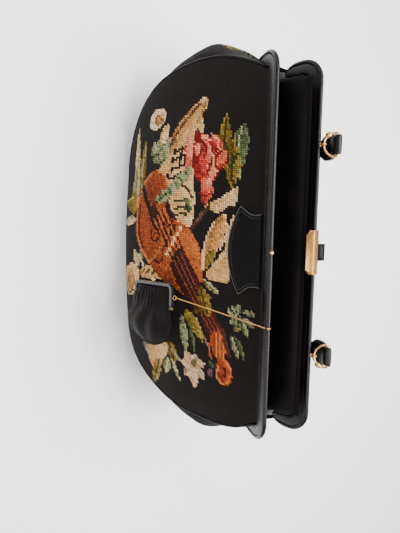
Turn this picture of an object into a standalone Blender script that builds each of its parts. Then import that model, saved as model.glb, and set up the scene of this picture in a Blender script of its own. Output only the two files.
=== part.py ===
"""A framed needlepoint knitting bag with a hinged two-half frame, a lift clasp, a carrying handle on D rings
and a coin purse that hangs outside, over the front bar, on a fine chain.

Metres, +Z up, +X to the bag's right as seen from the front, front facing -Y. The origin is the middle of the
flat underside of the base. Both frame halves are built shut, in the plane y = 0, and tilted about the hinge.
"""

import math

import bmesh
import bpy
import numpy as np
from mathutils import Matrix, Vector

# ---- frame
HINGE_Z = 0.132              # height of the hinge axis, which lies along X at y = 0
LEG = 0.118                  # hinge axis to the top edge of a bar
FRONT_TILT = math.radians(20.0)
REAR_TILT = math.radians(-5.5)
FRAME_HALF = 0.200           # half of the frame's overall width
CORNER_R = 0.025
BAND = 0.0165                # height of the leather band
HALF_GAP = 0.0004            # half of the gap between the shut halves
HALF_DEPTH = 0.0051          # depth of one leather-covered half
EAR_END = {"front": 0.066, "rear": 0.084}   # the leather stops this far above the hinge axis
STEEL_T = 0.0016
STEEL_W = 0.012
STEEL_INSET = 0.0023
CAVITY_SLACK = 0.0003
STRIP_W = 0.006              # the bare steel leg below the leather
STRIP_END = 0.010
PLATE_T = 0.0016
EYE_R = 0.006
RIVET_R = 0.0019
PLATE_X = {"front": 0.1928, "rear": 0.1947}

# ---- cloth body
WIDTH_HALF = 0.206
CORNER_Z = 0.150             # the lower corners are round up to here
CORNER_POWER = 2.3
BASE_SAG = 0.006             # how much of the round bottom the base board flattens
SHOULDER = 0.004
BELLY_Z = 0.050
CROWN = 0.020
TOP = {"front": (0.2253, 0.0386), "rear": (0.2327, 0.0125)}     # height and depth under the band
BELLY = {"front": 0.092, "rear": 0.088}
BASE_HALF = {"front": 0.068, "rear": 0.064}
TOP_SLOPE = -0.35
SIDE = {"front": -1.0, "rear": 1.0}
CLOTH = 0.003
SEAM_SET = 0.0036            # a cloth edge stops this far short of its seam
SEAM_FOOT = 0.0030
EDGE_Z = 0.207               # gussets, welts and the wide part of the panels stop below the ears
NECK_HALF = 0.1722
GUSSET_BULGE = 0.026
BASE_X = 0.075
WELT_R = 0.0019
LINING = 0.0012
LINING_SET = 0.009
LINING_HALF = 0.1825
LINING_TOP = 0.221
POCKET_GAP = 0.0014
BOARD = (0.140, 0.104, 0.002)
TOUCH = 0.0003               # the gap that touching pieces keep

# ---- fittings
CLASP_W, CLASP_T = 0.046, 0.0012
PIN_Y, PIN_S = 0.0082, 0.1160
LIP_Y, LIP_FOOT, PLATE_S = -0.0093, 0.1186, 0.1222
STUD_Y, STUD_R, STUD_H = -0.0034, 0.00175, 0.0026
RING_X, RING_R, RING_WIRE, RING_LEG = 0.110, 0.012, 0.0012, 0.002
RING_LEAN = math.radians(40.0)       # from level, leaning back
EYELET_Y, EYELET_S = 0.0030, 0.1220
BALL_R = 0.0034
HANG = math.radians(21.0)            # the handle's slope behind the bag, from plumb
LOOP_R, LOOP_HOLE, LOOP_W = 0.0043, 0.0016, 0.020
TAB_LEN, TAB_WIDE, GRIP_R = 0.036, 0.028, 0.0060
ARCH_HALF, ARCH_DROP = 0.1100, 0.141

# ---- coin purse, drawn in its own plane: u from the mouth to the foot, v up, w out from the bag
CHAIN_TOP_X = 0.0755
CHAIN_R = 0.0007
CHAIN_SET = -0.0005  # the middle of the chain where it lies in the front leather, from the hinge plane
ANCHOR_S = 0.1105
PURSE_AT = Vector((0.0405, -0.0905, 0.1385))     # where the upper frame leg meets the mouth bar
PURSE_LEAN = math.radians(14.5)
PURSE_FRAME_W, PURSE_FRAME_LEG = 0.060, 0.0250
PURSE_PIN_U, PURSE_PIN_R = 0.0278, 0.0011
KNUCKLE_R, KNUCKLE_W = 0.0023, 0.0014
PURSE_BAR = 0.0034
PURSE_HALF_D = 0.0026
PURSE_LEN, PURSE_BELLY, PURSE_PUFF = 0.077, 0.0405, 0.0115
PURSE_SAG = 0.0105             # how far the cloth's middle hangs below the frame's
SNAP_R = 0.0032

STEEL = ("steel", (0.45, 0.45, 0.46), 0.40, 1.0)
GOLD = ("gilt_brass", (0.83, 0.62, 0.30), 0.28, 1.0)
LEATHER = ("black_leather", (0.022, 0.021, 0.021), 0.42, 0.0)
NEEDLEPOINT = ("needlepoint", (0.020, 0.016, 0.016), 0.90, 0.0)
LINING_CLOTH = ("lining_cloth", (0.018, 0.017, 0.018), 0.60, 0.0)
MOIRE = ("moire_cloth", (0.024, 0.023, 0.024), 0.45, 0.0)
ENAMEL = ("black_enamel", (0.03, 0.03, 0.03), 0.30, 0.2)
BOARD_STUFF = ("board", (0.30, 0.26, 0.20), 0.90, 0.0)

# carries an outline's x, y and thickness z to the object's Y, Z and X
SIDEWAYS = Matrix(((0, 0, 1, 0), (1, 0, 0, 0), (0, 1, 0, 0), (0, 0, 0, 1)))


# ---------------------------------------------------------------- helpers

def clear_scene():
    for obj in list(bpy.data.objects):
        bpy.data.objects.remove(obj, do_unlink=True)


def collection(name):
    made = bpy.data.collections.new(name)
    bpy.context.scene.collection.children.link(made)
    return made


def material(spec):
    name, colour, roughness, metallic = spec
    found = bpy.data.materials.get(name)
    if found:
        return found
    made = bpy.data.materials.new(name)
    made.use_nodes = True
    shader = made.node_tree.nodes["Principled BSDF"]
    shader.inputs["Base Color"].default_value = (*colour, 1.0)
    shader.inputs["Roughness"].default_value = roughness
    shader.inputs["Metallic"].default_value = metallic
    return made


def add_object(name, mesh, spec, parent=None, smooth=None):
    """Links a mesh as a named part; with a parent it is drawn in the parent's own axes."""
    obj = bpy.data.objects.new(name, mesh)
    PARTS.objects.link(obj)
    mesh.materials.clear()
    mesh.materials.append(material(spec))
    if smooth is not None:
        mesh.shade_smooth()
        mesh.set_sharp_from_angle(angle=math.radians(smooth))
    obj.parent = parent
    return obj


def empty(name, matrix, parent=None):
    obj = bpy.data.objects.new(name, None)
    PARTS.objects.link(obj)
    obj.parent = parent
    obj.matrix_world = matrix
    bpy.context.view_layer.update()
    return obj


def mesh_of(name, build):
    mesh = bpy.data.meshes.new(name)
    bm = bmesh.new()
    build(bm)
    bmesh.ops.recalc_face_normals(bm, faces=bm.faces)
    bm.to_mesh(mesh)
    bm.free()
    return mesh


def box_mesh(name, low, high):
    def build(bm):
        size = [b - a for a, b in zip(low, high)]
        middle = [(a + b) / 2 for a, b in zip(low, high)]
        bmesh.ops.create_cube(bm, size=1.0, matrix=Matrix.Translation(middle) @ Matrix.Diagonal((*size, 1.0)))
    return mesh_of(name, build)


def rod_mesh(name, start, end, radius, sides=20):
    """A cylinder between two points."""
    start, end = Vector(start), Vector(end)
    turn = (end - start).to_track_quat("Z", "Y").to_matrix().to_4x4()

    def build(bm):
        bmesh.ops.create_cone(bm, cap_ends=True, segments=sides, radius1=radius, radius2=radius,
                              depth=(end - start).length,
                              matrix=Matrix.Translation((start + end) / 2) @ turn)
    return mesh_of(name, build)


def ball_mesh(name, centre, radius, sides=16):
    def build(bm):
        bmesh.ops.create_uvsphere(bm, u_segments=sides, v_segments=sides // 2, radius=radius,
                                  matrix=Matrix.Translation(centre))
    return mesh_of(name, build)


def curve_to_mesh(curve, name):
    """The closed mesh of a curve: its caps are welded to its walls."""
    temporary = bpy.data.objects.new(name + "_curve", curve)
    bpy.context.scene.collection.objects.link(temporary)
    bpy.context.view_layer.update()
    mesh = bpy.data.meshes.new_from_object(temporary.evaluated_get(bpy.context.evaluated_depsgraph_get()))
    bpy.data.objects.remove(temporary)
    bm = bmesh.new()
    bm.from_mesh(mesh)
    bmesh.ops.remove_doubles(bm, verts=bm.verts, dist=0.00001)
    bmesh.ops.recalc_face_normals(bm, faces=bm.faces)
    bm.to_mesh(mesh)
    bm.free()
    return mesh


def plate_mesh(name, outline, thickness, place):
    """A flat outline given thickness. place carries the outline's x, y and the thickness' z to the part's axes."""
    curve = bpy.data.curves.new(name, "CURVE")
    curve.dimensions = "2D"
    curve.fill_mode = "BOTH"
    curve.extrude = thickness / 2
    spline = curve.splines.new("POLY")
    spline.points.add(len(outline) - 1)
    for point, (x, y) in zip(spline.points, outline):
        point.co = (x, y, 0.0, 1.0)
    spline.use_cyclic_u = True
    mesh = curve_to_mesh(curve, name)
    mesh.transform(place)
    return mesh


def wire_mesh(name, points, radius, closed=False, resolution=2):
    """A round wire along a list of points."""
    curve = bpy.data.curves.new(name, "CURVE")
    curve.dimensions = "3D"
    curve.bevel_depth = radius
    curve.bevel_resolution = resolution
    curve.use_fill_caps = True
    spline = curve.splines.new("POLY")
    spline.points.add(len(points) - 1)
    for point, at in zip(spline.points, points):
        point.co = (*at, 1.0)
    spline.use_cyclic_u = closed
    return curve_to_mesh(curve, name)


def grid_mesh(name, rows, columns, surface, loop=False, cap_first=False):
    """An open sheet through surface(row, column); each is a fraction from 0 to 1."""
    def build(bm):
        count = columns if loop else columns + 1
        verts = [[bm.verts.new(surface(r / rows, c / columns)) for c in range(count)] for r in range(rows + 1)]
        for r in range(rows):
            for c in range(columns):
                d = (c + 1) % count
                bm.faces.new((verts[r][c], verts[r][d], verts[r + 1][d], verts[r + 1][c]))
        if cap_first:
            bm.faces.new(verts[0])
    return mesh_of(name, build)


def face_away(mesh, centre):
    """Turns a sheet's faces so that they look away from a point."""
    centre = Vector(centre)
    score = sum((f.center - centre).dot(f.normal) * f.area for f in mesh.polygons)
    if score < 0:
        mesh.flip_normals()


def thicken(obj, thickness):
    """Gives a sheet its thickness on the inner side."""
    shell = obj.modifiers.new("thickness", "SOLIDIFY")
    shell.thickness = thickness
    shell.offset = -1.0
    shell.use_even_offset = False


def soften(obj, width, segments=2, angle=40.0):
    bevel = obj.modifiers.new("soft_edges", "BEVEL")
    bevel.width = width
    bevel.segments = segments
    bevel.limit_method = "ANGLE"
    bevel.angle_limit = math.radians(angle)


def cutter(name, mesh, parent=None):
    obj = bpy.data.objects.new(name, mesh)
    CUTTERS.objects.link(obj)
    obj.parent = parent
    obj.hide_render = True
    obj.display_type = "WIRE"
    return obj


def combine(obj, other, operation):
    mod = obj.modifiers.new(operation.lower(), "BOOLEAN")
    mod.operation = operation
    mod.solver = "EXACT"
    mod.object = other


def drilled(mesh, hole):
    """A mesh with another one cut out of it, as a mesh of its own."""
    blank = bpy.data.objects.new("blank", mesh)
    drill = bpy.data.objects.new("drill", hole)
    for obj in (blank, drill):
        bpy.context.scene.collection.objects.link(obj)
    combine(blank, drill, "DIFFERENCE")
    bpy.context.view_layer.update()
    done = bpy.data.meshes.new_from_object(blank.evaluated_get(bpy.context.evaluated_depsgraph_get()))
    bpy.data.objects.remove(blank)
    bpy.data.objects.remove(drill)
    return done


def arc(cx, cy, radius, start, end, steps):
    """Points on an arc; the angles are in degrees."""
    angles = np.radians(np.linspace(start, end, steps + 1))
    return [(cx + radius * math.cos(a), cy + radius * math.sin(a)) for a in angles]


def smoothstep(x):
    x = min(1.0, max(0.0, x))
    return x * x * (3 - 2 * x)


# ---------------------------------------------------------------- the cloth body's shape

def half_width(z):
    """Half of the panel's width at a height: a round-cornered D, flattened at the base."""
    lifted = min(CORNER_Z, z * (CORNER_Z - BASE_SAG) / CORNER_Z + BASE_SAG)
    rounded = WIDTH_HALF * (1 - (1 - lifted / CORNER_Z) ** CORNER_POWER) ** (1 / CORNER_POWER)
    return rounded - SHOULDER * min(1.0, max(0.0, (z - CORNER_Z) / (EDGE_Z - CORNER_Z))) ** 2


def outline(q):
    """A point of the D outline, from the bottom's middle at q = 0 to the ear at q = 1, as (x, z)."""
    bend = 0.68
    if q < bend:
        turn = q / bend * math.pi / 2
        x = WIDTH_HALF * math.sin(turn) ** (2 / CORNER_POWER)
        z = CORNER_Z * (1 - math.cos(turn) ** (2 / CORNER_POWER))
        return x, max(0.0, z - BASE_SAG) * CORNER_Z / (CORNER_Z - BASE_SAG)
    z = CORNER_Z + (q - bend) / (1 - bend) * (EDGE_Z - CORNER_Z)
    return half_width(z), z


def outline_at_x(x):
    """The q at which the outline's round part reaches a half width."""
    low, high = 0.0, 0.6
    for _ in range(40):
        middle = (low + high) / 2
        low, high = (middle, high) if outline(middle)[0] < x else (low, middle)
    return low


def outline_inset(q, inset):
    """The outline moved inward, square to itself."""
    step = 0.004
    ax, az = outline(max(0.0, q - step))
    bx, bz = outline(min(1.0, q + step))
    length = math.hypot(bx - ax, bz - az)
    x, z = outline(q)
    return x - inset * (bz - az) / length, z + inset * (bx - ax) / length


def depth(z, side):
    """How far the middle of a panel lies from the plane y = 0 at a height."""
    top_z, top_y = TOP[side]
    belly, base = BELLY[side], BASE_HALF[side]
    if z < BELLY_Z:
        return base + (belly - base) * math.sqrt(max(0.0, 1 - (1 - z / BELLY_Z) ** 2))
    w = (z - BELLY_Z) / (top_z - BELLY_Z)
    slope = TOP_SLOPE * (top_z - BELLY_Z)
    return belly * (2 * w**3 - 3 * w**2 + 1) + top_y * (3 * w**2 - 2 * w**3) + slope * (w**3 - w**2)


def seam_depth(z, side):
    """How far the seam at a panel's side edge lies from the plane y = 0."""
    return depth(z, side) - CROWN * math.sin(math.pi * min(1.0, max(0.0, z / TOP[side][0]))) ** 0.8


def panel_point(x, z, side, out=0.0):
    """A point on a panel's outer face; out moves it away from the bag."""
    across = min(1.0, abs(x) / half_width(z)) ** 3
    y = depth(z, side) * (1 - across) + seam_depth(z, side) * across
    return Vector((x, SIDE[side] * (y + out), z))


def gusset_bulge(z):
    return GUSSET_BULGE * smoothstep((z - 0.012) / 0.080) * (1 - 0.88 * smoothstep((z - 0.150) / 0.055))


# ---------------------------------------------------------------- frame halves

def u_outline(inset, width, leg_end, corner_steps=7):
    """A U lying upside down: two legs and a top bar, as one flat outline in x and height above the hinge."""
    half, top = FRAME_HALF - inset, LEG - inset
    outer_r = CORNER_R - inset
    inner_half, inner_top = half - width, top - width
    inner_r = 0.010
    right = [(half, leg_end)] + arc(half - outer_r, top - outer_r, outer_r, 0, 90, corner_steps)
    left = [(-x, y) for x, y in reversed(right)]
    inner_left = [(-inner_half, leg_end)] + [
        (-x, y) for x, y in arc(inner_half - inner_r, inner_top - inner_r, inner_r, 0, 90, corner_steps)]
    inner_right = [(-x, y) for x, y in reversed(inner_left)]
    return right + left + inner_left + inner_right


def upright(depth_at):
    """Carries a flat outline into the plane y = depth_at: its x stays x, its y becomes height."""
    return Matrix.Translation((0, depth_at, 0)) @ Matrix.Rotation(math.pi / 2, 4, "X")


def steel_outline(side):
    """The flat steel U: wide inside the leather, with narrow legs that stop beside the hinge plates."""
    step = EAR_END[side] - 0.004
    points = u_outline(STEEL_INSET, STEEL_W, step)
    outer = PLATE_X[side] - TOUCH
    inner = outer - STRIP_W
    quarter = len(points) // 4
    right = [(outer, STRIP_END), (outer, step), (FRAME_HALF - STEEL_INSET, step)] + points[1:quarter]
    left = [(-x, y) for x, y in reversed(right)]
    inner_left = [(-inner, STRIP_END)] + points[2 * quarter + 1:3 * quarter]
    inner_right = [(-x, y) for x, y in reversed(inner_left)]
    return right + left + inner_left + inner_right


def frame_half(side):
    sign = SIDE[side]
    axis, ear = AXES[side], EAR_END[side]
    middle = sign * (HALF_GAP + HALF_DEPTH / 2)
    leather = add_object(side + "_frame_leather",
                         plate_mesh(side + "_leather", u_outline(0.0, BAND, ear), HALF_DEPTH, upright(middle)),
                         LEATHER, axis, 40)
    soften(leather, 0.0013, 2)
    channel = plate_mesh(side + "_channel",
                         u_outline(STEEL_INSET - CAVITY_SLACK, STEEL_W + 2 * CAVITY_SLACK, ear - 0.010),
                         STEEL_T + 2 * CAVITY_SLACK, upright(middle))
    combine(leather, cutter(side + "_channel_cut", channel, axis), "DIFFERENCE")
    if side == "front":
        chain_groove(leather, axis)
    add_object(side + "_frame_steel",
               plate_mesh(side + "_steel", steel_outline(side), STEEL_T, upright(middle)), STEEL, axis, 40)
    for hand, s in (("left", -1), ("right", 1)):
        add_object(f"{side}_hinge_plate_{hand}", hinge_plate(side, s), STEEL, axis, 40)


def hinge_plate(side, hand):
    """An eye round the rivet with a strap that runs up beside the steel leg, as one plate square to X."""
    sign = SIDE[side]
    strap_near, strap_far, strap_top = 0.0005, 0.0058, 0.034
    eye = arc(0.0, 0.0, EYE_R, 90, 360 + 55, 22)
    points = [(strap_near, strap_top)] + eye[1:] + [(strap_far, 0.0085), (strap_far, strap_top)]
    if sign < 0:
        points = [(-y, z) for y, z in points]
    x = hand * (PLATE_X[side] + PLATE_T / 2)
    place = Matrix.Translation((x, 0, 0)) @ SIDEWAYS
    hole = rod_mesh("plate_hole", (x - 0.004, 0, 0), (x + 0.004, 0, 0), RIVET_R + TOUCH)
    return drilled(plate_mesh(side + "_plate", points, PLATE_T, place), hole)


def hinge_rivets():
    """One rivet a side, with a head inside and out, through both plates."""
    inner, outer = PLATE_X["front"] - TOUCH, PLATE_X["rear"] + PLATE_T + TOUCH
    head = 0.0011
    for hand, s in (("left", -1), ("right", 1)):
        rivet = add_object("hinge_rivet_" + hand,
                           rod_mesh("rivet", (s * (inner - head / 2), 0, 0), (s * (outer + head / 2), 0, 0), RIVET_R),
                           STEEL, AXES["hinge"], 40)
        for k, x in enumerate((inner - head, outer)):
            disc = rod_mesh("rivet_head", (s * x, 0, 0), (s * (x + head), 0, 0), 0.0036)
            combine(rivet, cutter(f"rivet_head_{hand}_{k}", disc, AXES["hinge"]), "UNION")


# ---------------------------------------------------------------- cloth body

def panel(side):
    """The needlepoint face: rows of the D outline, narrower between the ears."""
    top_z = TOP[side][0]
    rows_round, rows_neck = 13, 3
    q_low = outline_at_x(BASE_X - 0.012)

    def surface(row, column):
        across = 2 * column - 1
        r = row * (rows_round + rows_neck)
        if r <= rows_round:
            q = q_low + (1 - q_low) * r / rows_round
            inset = SEAM_FOOT + (SEAM_SET - SEAM_FOOT) * smoothstep(r / 3)
            x, z = outline_inset(q, inset)
        else:
            part = (r - rows_round) / rows_neck
            x = half_width(EDGE_Z) - SEAM_SET - (half_width(EDGE_Z) - SEAM_SET - NECK_HALF) * min(1.0, part * rows_neck)
            z = EDGE_Z + (top_z - TOUCH - EDGE_Z) * part
        return panel_point(x * across, z, side)

    mesh = grid_mesh(side + "_panel", rows_round + rows_neck, 14, surface)
    face_away(mesh, (0, 0, 0.1))
    thicken(add_object(side + "_panel", mesh, NEEDLEPOINT, smooth=60), CLOTH)


def gusset(hand, s):
    """The side strip between the two panels, split in a V above the hinge by the frame's legs."""
    q_low = outline_at_x(BASE_X + 0.0022)

    def surface(row, column):
        q = q_low + (1 - q_low) * row
        x, z = outline(q)
        front, rear = -seam_depth(z, "front") + SEAM_SET, seam_depth(z, "rear") - SEAM_SET
        a = 2 * column - 1
        return s * (x + gusset_bulge(z) * (1 - a ** 4)), front + (rear - front) * column, z

    mesh = grid_mesh("gusset", 12, 8, surface)
    face_away(mesh, (0, 0, 0.1))
    piece = add_object("gusset_" + hand, mesh, NEEDLEPOINT, smooth=60)
    thicken(piece, CLOTH)
    reach = 0.150
    notch = [(0.0, 0.003)]
    notch += [(math.sin(-REAR_TILT) * reach + 0.0026, math.cos(REAR_TILT) * reach),
              (-math.sin(FRONT_TILT) * reach - 0.0026, math.cos(FRONT_TILT) * reach)]
    place = Matrix.Translation((s * WIDTH_HALF, 0, HINGE_Z + 0.004)) @ SIDEWAYS
    combine(piece, cutter("gusset_notch_" + hand, plate_mesh("notch", notch, 0.08, place)), "DIFFERENCE")


def base():
    """The flat needlepoint base and the stiff board that lies on it."""
    front, rear = -BASE_HALF["front"] + SEAM_SET, BASE_HALF["rear"] - SEAM_SET
    floor = add_object("base_panel", box_mesh("base_panel", (-BASE_X, front, 0), (BASE_X, rear, CLOTH)), NEEDLEPOINT)
    soften(floor, 0.0008, 1)
    x, y, t = BOARD
    middle = (front + rear) / 2
    z = CLOTH + TOUCH
    board = add_object("base_board", box_mesh("base_board", (-x / 2, middle - y / 2, z), (x / 2, middle + y / 2, z + t)),
                       BOARD_STUFF)
    soften(board, 0.0006, 1)


def welt(side):
    """The corded seam round a panel's edge."""
    points = []
    for q in np.linspace(1.0, 0.0, 22)[:-1]:
        x, z = outline_inset(q, 0.0012)
        points.append((x, z))
    route = [(x, z) for x, z in points] + [(-x, z) for x, z in reversed(points)]
    line = []
    for x, z in route:
        z = max(z, WELT_R + 0.0002)
        line.append((x, SIDE[side] * (seam_depth(z, side) - 0.0008), z))
    add_object(side + "_welt", wire_mesh(side + "_welt", line, WELT_R, resolution=1), LEATHER, smooth=50)


def lining_loop(z, inset, turn, power=4.0):
    """A point of the lining's cross-section at a height: a square-shouldered loop."""
    x_half = min(LINING_HALF, half_width(max(0.0, z - LINING_SET)) - inset)
    y_front, y_rear = -(depth(z, "front") - inset), depth(z, "rear") - inset
    c, s = math.cos(turn), math.sin(turn)
    x = x_half * math.copysign(abs(c) ** (2 / power), c)
    y = (y_front + y_rear) / 2 + (y_rear - y_front) / 2 * math.copysign(abs(s) ** (2 / power), s)
    return x, y, z


def lining():
    """The sewn lining: an open sack inside the panels, and a flat pocket on its rear wall."""
    floor = CLOTH + BOARD[2] + 2 * TOUCH + LINING + 0.0004

    def surface(row, column):
        z = floor + (LINING_TOP - floor) * row ** 1.4
        return lining_loop(z, LINING_SET, 2 * math.pi * column)

    mesh = grid_mesh("lining", 9, 26, surface, loop=True, cap_first=True)
    face_away(mesh, (0, 0, 0.1))
    thicken(add_object("lining", mesh, LINING_CLOTH, smooth=50), LINING)

    low, high, half = 0.105, 0.190, 0.075

    def pocket_surface(row, column):
        z = low + (high - low) * row
        x = half * (2 * column - 1)
        y = (depth(z, "front") - LINING_SET, depth(z, "rear") - LINING_SET)
        reach = (1 - (abs(x) / LINING_HALF) ** 4) ** 0.25
        middle, spread = (y[1] - y[0]) / 2, (y[1] + y[0]) / 2
        return x, middle + spread * reach - LINING - POCKET_GAP, z

    mesh = grid_mesh("lining_pocket", 6, 10, pocket_surface)
    face_away(mesh, (0, 0, 0.15))
    thicken(add_object("lining_pocket", mesh, LINING_CLOTH, smooth=50), LINING)


def front_tab():
    """The scalloped leather tab that lies on the front panel under the bar."""
    top, corner_z, foot_z = TOP["front"][0] - 0.0012, 0.2015, 0.1890

    def surface(row, column):
        a = 2 * column - 1
        low = foot_z + (corner_z - foot_z) * a * a
        z = top + (low - top) * row
        fall = min(1.0, (top - z) / (top - corner_z))
        half = 0.0375 - 0.0015 * math.sin(math.pi * min(1.0, fall * 1.2)) + 0.0085 * fall ** 2.4
        return panel_point(half * a, z, "front", 0.0024)

    mesh = grid_mesh("front_tab", 8, 12, surface)
    face_away(mesh, (0, 0, 0.1))
    thicken(add_object("front_tab", mesh, LEATHER, smooth=60), 0.0019)


# ---------------------------------------------------------------- clasp, stud, rings and handle

def side_profile_plate(name, points, width, spec, parent):
    """An outline in y and height, given a width along X."""
    return add_object(name, plate_mesh(name, points, width, SIDEWAYS), spec, parent, 40)


def clasp():
    axis = AXES["rear"]
    back = HALF_GAP + HALF_DEPTH + TOUCH
    bracket_t = 0.0009
    bracket = side_profile_plate("clasp_bracket", [(back, 0.1040), (back + bracket_t, 0.1040),
                                                   (back + bracket_t, 0.1136), (back, 0.1136)], 0.030, GOLD, axis)
    for k, x in enumerate((-0.0105, 0.0105)):
        ear = side_ear(x)
        combine(bracket, cutter(f"bracket_ear_{k}", ear, axis), "UNION")
    add_object("clasp_pin", rod_mesh("clasp_pin", (-0.0145, PIN_Y, PIN_S), (0.0145, PIN_Y, PIN_S), 0.0008, 12),
               GOLD, axis, 40)
    top, t = PLATE_S, CLASP_T
    front, rear = LIP_Y, PIN_Y + 0.0020
    pivot = AXES["clasp"]
    wall_foot = PIN_S + 0.0027
    profile = [(rear, wall_foot), (rear, top - 0.0006), (rear - 0.0012, top), (front + 0.0012, top),
               (front, top - 0.0010), (front, LIP_FOOT), (front + 0.0010, LIP_FOOT),
               (front + 0.0010, top - t - 0.0006), (front + 0.0018, top - t), (rear - 0.0016, top - t),
               (rear - 0.0009, top - t - 0.0006), (rear - 0.0009, wall_foot)]
    profile = [(y - PIN_Y, z - PIN_S) for y, z in profile]
    plate = side_profile_plate("clasp_plate", profile, CLASP_W, GOLD, pivot)
    cut = 0.0055
    for k, s in enumerate((-1, 1)):
        corner = [(s * (CLASP_W / 2 - cut), LIP_Y - PIN_Y - 0.001), (s * (CLASP_W / 2 + 0.002), LIP_Y - PIN_Y - 0.001),
                  (s * (CLASP_W / 2 + 0.002), LIP_Y - PIN_Y + cut + 0.001)]
        mesh = plate_mesh("clasp_corner", corner, 0.04, Matrix.Identity(4))
        combine(plate, cutter(f"clasp_corner_{k}", mesh, pivot), "DIFFERENCE")
    barrel = rod_mesh("clasp_barrel", (-0.0092, 0, 0), (0.0092, 0, 0), 0.0019, 16)
    combine(plate, cutter("clasp_barrel", barrel, pivot), "UNION")
    tongue = box_mesh("clasp_tongue", (-0.0090, 0.0011, -0.0004), (0.0090, 0.0019, 0.0036))
    combine(plate, cutter("clasp_tongue", tongue, pivot), "UNION")
    bore = rod_mesh("clasp_bore", (-0.03, 0, 0), (0.03, 0, 0), 0.0008 + TOUCH, 12)
    combine(plate, cutter("clasp_bore", bore, pivot), "DIFFERENCE")

    stud = add_object("catch_stud", rod_mesh("catch_stud", (0, STUD_Y, LEG + TOUCH),
                                             (0, STUD_Y, LEG + TOUCH + 0.0012), 0.0009, 14), GOLD, AXES["front"], 40)
    knob = rod_mesh("stud_knob", (0, STUD_Y, LEG + TOUCH + 0.0008), (0, STUD_Y, LEG + TOUCH + STUD_H - 0.0004),
                    STUD_R, 18)
    combine(stud, cutter("stud_knob", knob, AXES["front"]), "UNION")
    foot = rod_mesh("stud_foot", (0, STUD_Y, LEG + TOUCH), (0, STUD_Y, LEG + TOUCH + 0.0005), 0.0016, 18)
    combine(stud, cutter("stud_foot", foot, AXES["front"]), "UNION")


def side_ear(x):
    """One knuckle of the clasp's bracket, bored for the pin."""
    back = HALF_GAP + HALF_DEPTH + TOUCH
    place = Matrix.Translation((x, 0, 0)) @ SIDEWAYS
    points = [(back + 0.0004, 0.1120), (PIN_Y + 0.0004, 0.1138)] + arc(PIN_Y, PIN_S, 0.0019, -50, 100, 8) + [
        (back + 0.0004, 0.1170)]
    hole = rod_mesh("knuckle_hole", (x - 0.003, PIN_Y, PIN_S), (x + 0.003, PIN_Y, PIN_S), 0.0008 + TOUCH, 12)
    return drilled(plate_mesh("knuckle", points, 0.0018, place), hole)


def rings():
    """The eyelets on the rear bar, and the D rings that turn in them, each with its gilt ball."""
    pin_v = RING_R + RING_LEG
    for hand, s in (("left", -1), ("right", 1)):
        x = s * RING_X
        eye = [(x, EYELET_Y + 0.0027 * math.cos(a), EYELET_S + 0.0027 * math.sin(a))
               for a in np.linspace(0, 2 * math.pi, 17)[:-1]]
        eyelet = add_object("ring_eyelet_" + hand, wire_mesh("eyelet", eye, 0.0008, closed=True), GOLD,
                            AXES["rear"], 50)
        foot = rod_mesh("eyelet_foot", (x, EYELET_Y, LEG + TOUCH), (x, EYELET_Y, LEG + TOUCH + 0.0010), 0.0023)
        combine(eyelet, cutter("eyelet_foot_" + hand, foot, AXES["rear"]), "UNION")
        # the ring is drawn flat about its eyelet point: u along X, v away from the eyelet
        arch = [(RING_R * math.sin(a), RING_R - RING_R * math.cos(a))
                for a in np.linspace(-math.pi / 2, math.pi / 2, 17)]
        line = [(-RING_R, pin_v)] + arch + [(RING_R, pin_v)]
        points = [(x + u, v, 0.0) for u, v in line]
        ring = add_object("handle_ring_" + hand, wire_mesh("handle_ring", points, RING_WIRE, closed=True), GOLD,
                          AXES["rings"], 50)
        at = math.radians(52)
        centre = (x + s * RING_R * math.sin(at), RING_R - RING_R * math.cos(at), 0.0)
        ball = add_object("ring_ball_" + hand, ball_mesh("ring_ball", centre, BALL_R), GOLD, AXES["rings"], 50)
        bore = [(x + RING_R * math.sin(a), RING_R - RING_R * math.cos(a), 0.0)
                for a in np.linspace(s * at - 0.6, s * at + 0.6, 9)]
        combine(ball, cutter("ball_bore_" + hand, wire_mesh("ball_bore", bore, RING_WIRE + 0.0002), AXES["rings"]),
                "DIFFERENCE")


def handle():
    """A rolled handle whose flat ends fold round the rings' pins. u along X, v down the handle, w out behind."""
    axis = AXES["handle"]
    for hand, s in (("left", -1), ("right", 1)):
        x = s * RING_X
        rows, columns = 10, 2

        def surface(row, column, x=x):
            v = LOOP_R * 0.8 + (TAB_LEN - LOOP_R * 0.8) * row
            half = LOOP_W / 2 + (TAB_WIDE - LOOP_W) / 2 * math.sin(math.pi * min(1.0, row * 1.3)) ** 2 \
                - (LOOP_W / 2 - GRIP_R - 0.0008) * smoothstep(row * 2 - 1)
            return x + half * (2 * column - 1), v, 0.0032

        tab = grid_mesh("handle_tab", rows, columns, surface)
        end = add_object("handle_end_" + hand, tab, LEATHER, axis, 50)
        if tab.polygons[0].normal.z < 0:
            tab.flip_normals()
        thicken(end, 0.0064)
        fold = rod_mesh("handle_fold", (x - LOOP_W / 2, 0, 0), (x + LOOP_W / 2, 0, 0), LOOP_R, 24)
        combine(end, cutter("handle_fold_" + hand, fold, axis), "UNION")
        hole = rod_mesh("handle_hole", (x - 0.03, 0, 0), (x + 0.03, 0, 0), LOOP_HOLE, 16)
        combine(end, cutter("handle_hole_" + hand, hole, axis), "DIFFERENCE")
    start = TAB_LEN + 2 * TOUCH
    line = []
    for a in np.linspace(0, math.pi, 29):
        c, sn = math.cos(a), math.sin(a)
        line.append((-ARCH_HALF * math.copysign(abs(c) ** 0.72, c), start + 0.004 + (ARCH_DROP - start - 0.004) * sn ** 0.86,
                     0.0))
    line = [(-ARCH_HALF, start, 0.0)] + line + [(ARCH_HALF, start, 0.0)]
    add_object("handle_grip", wire_mesh("handle_grip", line, GRIP_R, resolution=3), LEATHER, axis, 60)


# ---------------------------------------------------------------- chain and coin purse

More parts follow.
